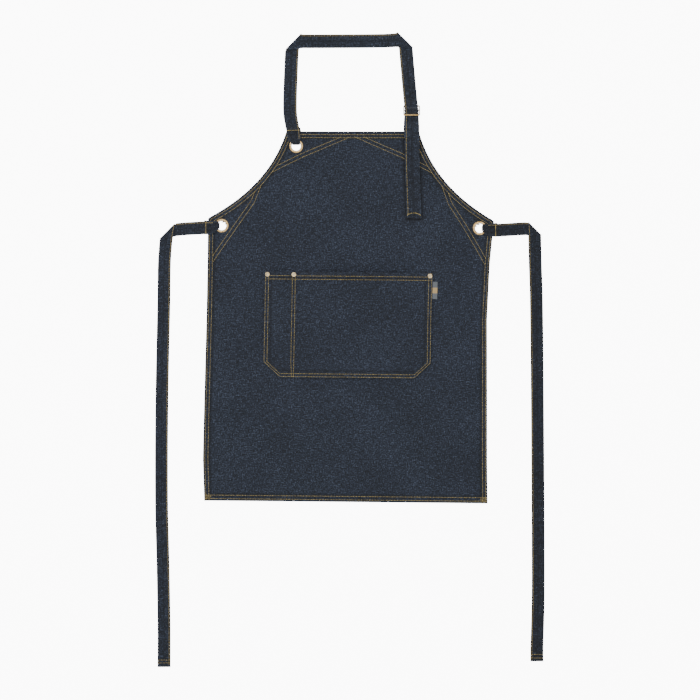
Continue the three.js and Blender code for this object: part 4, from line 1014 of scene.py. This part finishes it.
def eyelet_end(eyelet, width, aside):
    """A strap's end: the return underneath, up through the hole, over ring and hem, down again."""
    out = np.array(eyelet["out"], float)
    side = right_of(out)
    half, edge, turn_out = width / 2, eyelet["edge"], eyelet["turn"]
    low, high = GATHERED / 2, RING_TOP + 1.5 * GAP + GATHERED / 2
    corner = GATHERED * (1 - math.sqrt(0.5))
    clear_hole = EYELET_HOLE * math.cos(math.pi / 18) - 2 * GAP
    in_hole = math.sqrt(clear_hole ** 2 - (turn_out + GATHERED / 2) ** 2)
    over_edge = RAISED + HEM_CLOTH + GAP + STRAP / 2
    peek = RETURN_PEEK if out[1] > 0 or out[0] < 0 else -RETURN_PEEK
    rows = [
        (edge + RETURN_PAST, STRAP / 2, half, STRAP, peek),
        (edge, STRAP / 2, half, STRAP, 0.8 * peek),
        (1.3 * EYELET_RADIUS, STRAP / 2, 0.93 * half, STRAP, 0.4 * peek),
        (EYELET_RADIUS, low, 0.8 * half, GATHERED, 0),
        (turn_out + GATHERED, low, 0.5 * half, GATHERED, 0),
        (turn_out + corner, low + corner, in_hole, GATHERED, 0),
        (turn_out, low + GATHERED, in_hole, GATHERED, 0),
        (turn_out, high - GATHERED, in_hole, GATHERED, 0),
        (turn_out + corner, high - corner, 1.1 * in_hole, GATHERED, 0),
        (turn_out + GATHERED, high, 0.66 * half, GATHERED, 0),
        (0.85 * EYELET_RADIUS, high, 0.8 * half, GATHERED, 0),
        (1.15 * EYELET_RADIUS, high, 0.93 * half, GATHERED, 0),
        (1.5 * EYELET_RADIUS, over_edge, half, STRAP, 0),
        (edge + 1.5, over_edge, half, STRAP, 0),
        (edge + RETURN_PAST + 0.4, STRAP / 2 + LAYER, half, STRAP, 0),
        (edge + RETURN_PAST + 14, STRAP / 2, half, STRAP, 0),
    ]
    return [station(eyelet["at"] + reach * out + (aside(reach) + shift) * side, level, side, wide, thick)
            for reach, level, wide, thick, shift in rows]


def fold(at, way_in, way_out, half, start, end, drawn=1, inward=0, flip=1):
    """A slanting fold that turns the strap; its crease may be drawn out wider, a little further in."""
    way_in, way_out = np.asarray(way_in, float), np.asarray(way_out, float)
    crease = (way_in + way_out) / np.linalg.norm(way_in + way_out)
    if crease @ right_of(way_in) < 0:
        crease = -crease
    outward = way_in - crease * (way_in @ crease)
    outward /= np.linalg.norm(outward)
    crease_half = drawn * half / abs(way_in[0] * crease[1] - way_in[1] * crease[0])
    radius = abs(end - start) / 2
    return [station(at + outward * (radius * math.sin(a) - inward),
                    (start + end) / 2 + (start - end) / 2 * math.cos(a), crease * flip, crease_half)
            for a in np.linspace(0, math.pi, 7)]


def evenly(start, end, spacing=12):
    return np.linspace(start, end, max(1, round(abs(end - start) / spacing)) + 1)


# One face of a strap, from edge to edge: the place across and how full the cloth is there
HALF_ACROSS = np.array([0.2, 0.4, 0.6, 0.74, 0.86, 0.94, 0.985, 1])
HALF_FULL = np.array([1, 1, 0.98, 0.9, 0.97, 0.9, 0.62, 0.25])
STRAP_ACROSS = np.r_[-HALF_ACROSS[::-1], 0, HALF_ACROSS]
STRAP_FULL = np.r_[HALF_FULL[::-1], 1, HALF_FULL]


def ribbon(name, stations, gathers, material):
    """A strap through its stations, as a closed mesh, with the frame of every ring for its stitches."""
    rings = []
    for a, b in zip(stations, stations[1:]):
        steps = max(1, int(np.ceil(np.linalg.norm(b[:3] - a[:3]) / 3)))
        rings.extend(a + (b - a) * k / steps for k in range(steps))
    rings = np.array([*rings, stations[-1]])
    middle, edge, thick = rings[:, :3].copy(), rings[:, 3:5], rings[:, 5]
    ahead = np.diff(middle, axis=0)
    ahead /= np.linalg.norm(ahead, axis=1)[:, None]
    before, after = np.vstack([ahead[:1], ahead]), np.vstack([ahead, ahead[-1:]])
    along = before + after
    along /= np.linalg.norm(along, axis=1)[:, None]
    edge3 = np.column_stack([edge, np.zeros(len(edge))])
    up = np.cross(edge3 / np.linalg.norm(edge3, axis=1)[:, None], along)
    up /= np.linalg.norm(up, axis=1)[:, None]
    mitre = np.minimum(1 / np.sum(along * after, axis=1), 1.3)
    length = np.r_[0, np.cumsum(np.linalg.norm(np.diff(middle, axis=0), axis=1))]
    tight = np.zeros(len(length))
    for where, reach in gathers:
        tight = np.maximum(tight, np.exp(-((length - where) / reach) ** 2))
    points, uvs = [], []
    half = np.linalg.norm(edge, axis=1)
    for face in (1, -1):
        crease = 0.5 + 0.5 * np.cos(STRAP_ACROSS[None, :] * 10.5 + face + 0.4 * np.sin(length / 9)[:, None])
        height = STRAP_FULL[None, :] * (thick * mitre / 2)[:, None] - 0.42 * tight[:, None] * crease
        ripple = 0.09 * np.sin(length / 7.1 + 1)[:, None] * np.sin(STRAP_ACROSS * 2.2 + length[:, None] / 31)
        height = height - np.abs(ripple)
        grid = (middle[:, None, :] + edge3[:, None, :] * STRAP_ACROSS[None, :, None]
                + face * up[:, None, :] * height[:, :, None])
        points.append(grid)
        uvs.append(np.stack([STRAP_ACROSS[None, :] * half[:, None] + 0 * height,
                             length[:, None] + 0 * height], axis=-1))
    for grid in points:
        grid[..., 2] = np.maximum(grid[..., 2], 0.02)
    rim = half[:, None] * (1 - np.abs(STRAP_ACROSS))[None, :]
    # Painted shade: the valleys of the gathers, darkened through the crease attribute
    wave = STRAP_ACROSS[None, :] * 7.5 + 0.6 * np.sin(length / 9)[:, None]
    gather_shade = tight[:, None] * (0.5 - 0.5 * np.cos(wave)) ** 2
    piece = sheet_mesh(name, points[0], points[1], uvs[0], {"edge": rim, "crease": gather_shade})
    face_outwards(piece.data)
    piece.data.materials.append(material)
    return piece, {"middle": middle, "edge": edge3, "up": up, "thick": thick, "length": length, "half": half}


def strap_seam(rings, across_inset, mirror, first, last, lift=0.06):
    """The topstitching along one edge of a strap, once on each of its faces."""
    share = mirror * (1 - across_inset / rings["half"])
    chosen = (rings["length"] >= first) & (rings["length"] <= last)
    seams = []
    for face in (1, -1):
        height = rings["thick"] / 2 * 0.93 + lift
        seam = rings["middle"] + rings["edge"] * share[:, None] + face * rings["up"] * height[:, None]
        seam[:, 2] = np.maximum(seam[:, 2], 0.1)
        seams.append(seam[chosen])
    return seams


def bar_across(rings, where, low=-0.86, high=0.86, slant=0.0, face=1):
    """A bar of stitches across a strap."""
    shares = np.linspace(low, high, 12)
    i = int(np.argmin(np.abs(rings["length"] - where)))
    ahead = rings["middle"][min(i + 1, len(rings["middle"]) - 1)] - rings["middle"][i - 1]
    ahead = ahead / np.linalg.norm(ahead)
    height = rings["thick"][i] / 2 + 0.12
    return (rings["middle"][i] + rings["edge"][i] * shares[:, None]
            + face * rings["up"][i] * height + ahead * (slant * shares)[:, None])


def over_hem(name, rings, from_eyelet, past, reach, slants):
    """The bar of stitches that holds a strap to the cloth, at a reach from its eyelet."""
    away = np.where(rings["length"] > past + BAR_PAST, np.abs(from_eyelet - reach), FAR)
    at = float(rings["length"][np.argmin(away)])
    return sewn(name, [bar_across(rings, at + step, face=face, slant=slant)
                       for step, slant in zip((-0.5, 0.5), slants) for face in (1, -1)], **BAR_STITCH)


SEAM_INSET = 3.2
BAR_PAST = 12
BAR_STITCH = {"pitch": 2.0, "length": 2.3, "thread": 1.15}
strap_denim = denim("navy_denim_strap", tone=0.98)

for name, tie in TIES.items():
    eyelet = EYELETS[name]
    out = np.array(eyelet["out"], float)
    half, clear = TIE_WIDTH / 2, TIE_WIDTH / 2 + 6
    stray = lambda reach: softly(tie["across"], reach / TIE_OUT) * TIE_WIDTH
    side = right_of(out)
    fold_at = eyelet["at"] + TIE_OUT * out + stray(TIE_OUT) * side
    stations = eyelet_end(eyelet, TIE_WIDTH, stray)
    for reach in evenly(eyelet["edge"] + RETURN_PAST + 26, TIE_OUT - clear):
        stations.append(station(eyelet["at"] + reach * out + stray(reach) * side, STRAP / 2, side, half))
    stations += fold(fold_at, out, (0, -1), half, STRAP / 2, SECOND_LAYER, *tie["crease"])
    for reach in (clear, *evenly(clear + 14, tie["drop"])):
        aside = softly(tie["down"], reach / tie["drop"]) * TIE_WIDTH
        level = SECOND_LAYER if reach == clear else STRAP / 2
        stations.append(station(fold_at + (aside, -reach), level, (1, 0), half))
    through = eyelet["edge"] + RETURN_PAST
    strap, rings = ribbon(f"waist_tie_{name}", stations, [(through, 20), (through + 26, 16)],
                          denim(f"navy_denim_tie_{name}", tone=tie["tone"]))
    total = rings["length"][-1]
    seams = strap_seam(rings, SEAM_INSET, tie["mirror"], through + 16, total - 4)
    ends = [bar_across(rings, total - inset, face=face) for inset in (8, 15) for face in (1, -1)]
    lines = sewn(f"waist_tie_{name}_stitches", [*seams, *ends])
    from_eyelet = (rings["middle"][:, :2] - eyelet["at"]) @ out
    bars = over_hem(f"waist_tie_{name}_bar", rings, from_eyelet, through, 33.5, (0.8, -0.8))
    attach(strap, "root")
    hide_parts(f"tie_{name}")


# Slider
# A cast brass slider with three bars, tipped by the straps that pass through it.

SLIDER_WIDTH, SLIDER_LENGTH, SLIDER_THICK = 35.6, 23.7, 2.2
END_BAR, MIDDLE_BAR, SIDE_BAR, SLIDER_CORNER = 3.4, 2.4, 2.3, 3.6
SLIDER_ASIDE, SLIDER_RISE = 0.1, 75.8
top_right = EYELETS["top_right"]
slider_at = top_right["at"] + (SLIDER_ASIDE, SLIDER_RISE)
bar_reach = (SLIDER_LENGTH - END_BAR) / 2
end_bar_half = math.hypot(SLIDER_THICK, END_BAR) / 2
low_bar = end_bar_half + GAP / 6
high_bar = STRAP / 2 + 2 * LAYER + STRAP / 2 + GAP + end_bar_half
slider_level = (low_bar + high_bar) / 2
slider_tip = math.asin((high_bar - low_bar) / (2 * bar_reach))
SLIDER_ROUND = 0.75


def rounded_rectangle(left, right, bottom, top, corner, steps=8):
    corners = ((right, bottom, -90), (right, top, 0), (left, top, 90), (left, bottom, 180))
    points = []
    for x, y, start in corners:
        cx = x - corner if x == right else x + corner
        cy = y - corner if y == top else y + corner
        for k in range(steps + 1):
            angle = math.radians(start + 90 * k / steps)
            points.append((cx + corner * math.cos(angle), cy + corner * math.sin(angle)))
    return points


plate = bpy.data.curves.new("slider_plate", "CURVE")
plate.dimensions = "2D"
plate.fill_mode = "BOTH"
plate.extrude = (SLIDER_THICK / 2 - SLIDER_ROUND) * METRES
plate.bevel_depth = SLIDER_ROUND * METRES
plate.bevel_resolution = 4
inset = SLIDER_ROUND
slot_half = SLIDER_WIDTH / 2 - SIDE_BAR + inset
slot_inner, slot_outer = MIDDLE_BAR / 2 - inset, SLIDER_LENGTH / 2 - END_BAR + inset
for loop in (
    rounded_rectangle(-SLIDER_WIDTH / 2 + inset, SLIDER_WIDTH / 2 - inset, -SLIDER_LENGTH / 2 + inset,
                      SLIDER_LENGTH / 2 - inset, SLIDER_CORNER - inset),
    rounded_rectangle(-slot_half, slot_half, slot_inner, slot_outer, 1.6),
    rounded_rectangle(-slot_half, slot_half, -slot_outer, -slot_inner, 1.6),
):
    spline = plate.splines.new("POLY")
    spline.points.add(len(loop) - 1)
    spline.points.foreach_set("co", [v for x, y in loop for v in (x * METRES, y * METRES, 0, 1)])
    spline.use_cyclic_u = True
plate_holder = bpy.data.objects.new("slider_plate", plate)
bpy.context.collection.objects.link(plate_holder)
slider_mesh = bpy.data.meshes.new_from_object(
    plate_holder.evaluated_get(bpy.context.evaluated_depsgraph_get()))
bpy.data.objects.remove(plate_holder)
face_outwards(slider_mesh, weld=True)
for vertex in slider_mesh.vertices:
    x, y, z = vertex.co
    vertex.co = (
        x + slider_at[0] * METRES,
        y * math.cos(slider_tip) + z * math.sin(slider_tip) + slider_at[1] * METRES,
        -y * math.sin(slider_tip) + z * math.cos(slider_tip) + slider_level * METRES)
slider_mesh.name = "brass_slider"
slider_mesh.materials.clear()
slider_mesh.materials.append(brass)
slider_mesh.polygons.foreach_set("use_smooth", np.ones(len(slider_mesh.polygons), dtype=bool))
slider = bpy.data.objects.new("brass_slider", slider_mesh)
bpy.context.collection.objects.link(slider)
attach(slider, "root")
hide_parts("slider")


# Anchor strap
# A short denim strap from the top right eyelet, round the middle bar of the slider and back under
# itself. The free end of the neck strap covers it, all but a sliver.

middle_bar_half = math.hypot(SLIDER_THICK, MIDDLE_BAR) / 2
anchor_radius = middle_bar_half + GAP + STRAP / 2
neck_radius = anchor_radius + LAYER
ANCHOR_ACROSS = ([0.04, 0.2, 0.45, 0.8, 1], [0, -0.03, -0.085, -0.05, 0.003])
ANCHOR_RETURN = 22


def around_bar(radius, degrees):
    angle = math.radians(degrees)
    return slider_at[1] + radius * math.cos(angle), slider_level + radius * math.sin(angle)


def foot_of(radius, degrees, level):
    y, start_level = around_bar(radius, degrees)
    run = start_level - level
    return (y - run if degrees > 90 else y + run), level


def anchor_stray(reach):
    return softly(ANCHOR_ACROSS, reach / SLIDER_RISE) * STRAP_WIDTH


anchor_stations = eyelet_end(top_right, STRAP_WIDTH, anchor_stray)
for y, level in (
    (slider_at[1] - 2 * anchor_radius, STRAP / 2),
    *(around_bar(anchor_radius, degrees) for degrees in range(270, 496, 25)),
    foot_of(anchor_radius, 135, STRAP / 2 + LAYER),
    (slider_at[1] - ANCHOR_RETURN, STRAP / 2 + LAYER),
):
    x = top_right["at"][0] + anchor_stray(y - top_right["at"][1])
    anchor_stations.append(station((x, y), level, (1, 0), STRAP_WIDTH / 2))
bib_through = top_right["edge"] + RETURN_PAST
anchor, anchor_rings = ribbon("anchor_strap_cloth", anchor_stations, [(bib_through, 18)], strap_denim)
anchor_length = float(anchor_rings["length"][-1])
anchor_stitches = sewn("anchor_strap_stitches", strap_seam(
    anchor_rings, SEAM_INSET, 1, bib_through + 16, anchor_length - 4))
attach(anchor, "root")
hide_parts("anchor_strap")


# Neck strap
# One long denim strap: up from the top left eyelet, folded over to the right, folded under and down,
# over two bars of the slider and under the third. Its free end lies on the bib, sewn off in an arc.

NECK_RUN, NECK_LEAN, NECK_LEFT_IN, NECK_RIGHT_IN = 221.6, 3.7, -6.5, -13.3
NECK_CREASE = (1.13, 2)
TAIL_LENGTH, TAIL_ASIDE, TAIL_SPREAD, TAIL_STEP = 228, 5.2, 1.06, 10
LEFT_NECK = ([0.02, 0.045, 0.09, 0.142, 0.195, 0.252, 0.31, 0.48, 0.71, 0.92, 1],
             [0, -0.08, -0.17, -0.2, -0.3, -0.37, -0.44, -0.44, -0.377, -0.3, NECK_LEFT_IN / STRAP_WIDTH])
TOP_NECK = ([0, 0.3, 0.8, 1], [0, -0.03, -0.06, 0])
RIGHT_NECK = ([0, 0.058, 0.18, 0.35, 0.397, 0.45, 0.67, 0.84, 1],
              [0, 0.015, 0.07, 0.165, 0.2, 0.195, 0.07, 0.03, 0])
neck_half = STRAP_WIDTH / 2
top_left = EYELETS["top_left"]
left_fold = top_left["at"] + (NECK_LEFT_IN, NECK_RUN)
right_fold = np.array((top_right["at"][0] + NECK_RIGHT_IN, left_fold[1] + NECK_LEAN))
neck_span = float(np.linalg.norm(right_fold - left_fold))
neck_way = (right_fold - left_fold) / neck_span
past_fold = neck_half + 6
tail_tip = slider_at + (TAIL_ASIDE, -TAIL_LENGTH)
down_length = right_fold[1] - tail_tip[1]


def neck_stray(reach):
    return softly(LEFT_NECK, reach / NECK_RUN) * STRAP_WIDTH


def down_station(y, level, half=neck_half):
    along = (right_fold[1] - y) / down_length
    x = right_fold[0] + (tail_tip[0] - right_fold[0]) * along + softly(RIGHT_NECK, along) * STRAP_WIDTH
    return station((x, y), level, (-1, 0), half)


def top_under_tail(y):
    """The highest thing that the free end passes over at a height."""
    x = down_station(y, 0)[0] + np.linspace(-1, 1, 7) * (neck_half * TAIL_SPREAD + 1)
    flat_x = x - LAID_ASIDE - LAID_LEAN * y
    flat_y = y + LAID_TURN * np.clip(1 - y / BIB_HEIGHT, 0, 1) * flat_x
    on_body = body_top(flat_x, flat_y) * (flat_y < BIB_HEIGHT + GAP)
    top = float(np.max(on_body))
    for a, b in zip(anchor_stations, anchor_stations[1:]):
        low, high = min(a[1], b[1]), max(a[1], b[1])
        if low <= y <= high and high > low:
            share = (y - a[1]) / (b[1] - a[1])
            top = max(top, a[2] + (b[2] - a[2]) * share + max(a[5], b[5]) / 2)
    if abs(y - top_right["at"][1]) < EYELET_RADIUS + GAP:
        top = max(top, RING_TOP)
    return top


def tail_station(y):
    top = max(top_under_tail(near) for near in np.arange(y - TAIL_STEP, y + TAIL_STEP + 0.1, 1))
    spread = np.clip((slider_at[1] - y) / SLIDER_LENGTH - 0.5, 0, 1)
    return down_station(y, top + GAP + STRAP / 2, neck_half * (1 + (TAIL_SPREAD - 1) * spread))


over_low_bar = low_bar + end_bar_half + GAP + STRAP / 2
beyond_bar = slider_at[1] - bar_reach - END_BAR
neck_stations = eyelet_end(top_left, STRAP_WIDTH, neck_stray)
for reach in evenly(top_left["edge"] + RETURN_PAST + 24, NECK_RUN - past_fold):
    neck_stations.append(station(top_left["at"] + (neck_stray(reach), reach), STRAP / 2, (1, 0), neck_half))
neck_stations += fold(left_fold, (0, 1), neck_way, neck_half, STRAP / 2, SECOND_LAYER, *NECK_CREASE)
top_side = np.array((-neck_way[1], neck_way[0]))
for reach in (past_fold, *evenly(past_fold + 14, neck_span - past_fold - 14), neck_span - past_fold):
    near_fold = min(reach, neck_span - reach) < past_fold + 1
    level = SECOND_LAYER if near_fold else STRAP / 2
    aside = softly(TOP_NECK, reach / neck_span) * STRAP_WIDTH
    neck_stations.append(station(left_fold + reach * neck_way + aside * top_side, level, top_side, neck_half))
neck_stations += fold(
    right_fold, neck_way, (0, -1), neck_half, SECOND_LAYER, STRAP / 2, *NECK_CREASE, flip=-1)
above_slider = evenly(right_fold[1] - past_fold, slider_at[1] + SLIDER_LENGTH)
neck_stations += [down_station(y, STRAP / 2) for y in above_slider]
neck_stations.append(down_station(slider_at[1] + bar_reach + END_BAR * 0.75, over_low_bar))
neck_stations.append(down_station(*foot_of(neck_radius, 45, over_low_bar)))
neck_stations += [down_station(*around_bar(neck_radius, degrees)) for degrees in (45, 67, 90, 112, 135)]
neck_stations.append(down_station(*foot_of(neck_radius, 135, STRAP / 2 + 2 * LAYER)))
neck_stations.append(down_station(beyond_bar, STRAP / 2 + 2 * LAYER))
neck_stations += [tail_station(y) for y in evenly(beyond_bar - TAIL_STEP, tail_tip[1], TAIL_STEP)]

neck, neck_rings = ribbon(
    "neck_strap_cloth", neck_stations, [(bib_through, 20), (bib_through + 26, 16)], strap_denim)
neck_length = float(neck_rings["length"][-1])
ARC_AT, ARC_DEEP = 8.7, 6
arc = []
for share in np.linspace(-0.86, 0.86, 15):
    where = neck_length - ARC_AT + ARC_DEEP * (share ** 2 - 0.5)
    i = int(np.argmin(np.abs(neck_rings["length"] - where)))
    short = where - neck_rings["length"][i]
    point = neck_rings["middle"][i] + neck_rings["edge"][i] * share
    arc.append(point + (0, -short, STRAP / 2 + 0.1))
neck_stitches = sewn("neck_strap_stitches", strap_seam(
    neck_rings, SEAM_INSET, 1, bib_through + 16, neck_length - 10))
neck_arc = sewn("neck_strap_arc", [np.array(arc)], pitch=2.6, length=2.9, thread=1.9)

# Painted shade: the bib is darkened in the narrow gap beside the strap's free end and below its tip
CONTACT = 9
on_body = np.array([vertex.co for vertex in body.data.vertices]) / METRES
lying = neck_rings["middle"][neck_rings["length"] > neck_length - TAIL_LENGTH + SLIDER_LENGTH][::-1]
beside = np.abs(on_body[:, 0] - np.interp(on_body[:, 1], lying[:, 1], lying[:, 0])) - neck_half
beyond = np.maximum(lying[0, 1] - on_body[:, 1], on_body[:, 1] - lying[-1, 1])
on_front = np.empty(len(on_body), dtype=np.float32)
body.data.attributes["front"].data.foreach_get("value", on_front)
gap_shade = on_front * np.clip(1 - beside / CONTACT, 0, 1) * np.clip(1 - beyond / CONTACT, 0, 1)
body.data.attributes.new("crease", "FLOAT", "POINT").data.foreach_set("value", gap_shade.astype(np.float32))

from_eyelet = neck_rings["middle"][:, 1] - top_left["at"][1]
neck_bars = over_hem("neck_strap_bar", neck_rings, from_eyelet, bib_through, 33, (1.2, 0.4))
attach(neck, "root")
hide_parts("neck_strap")
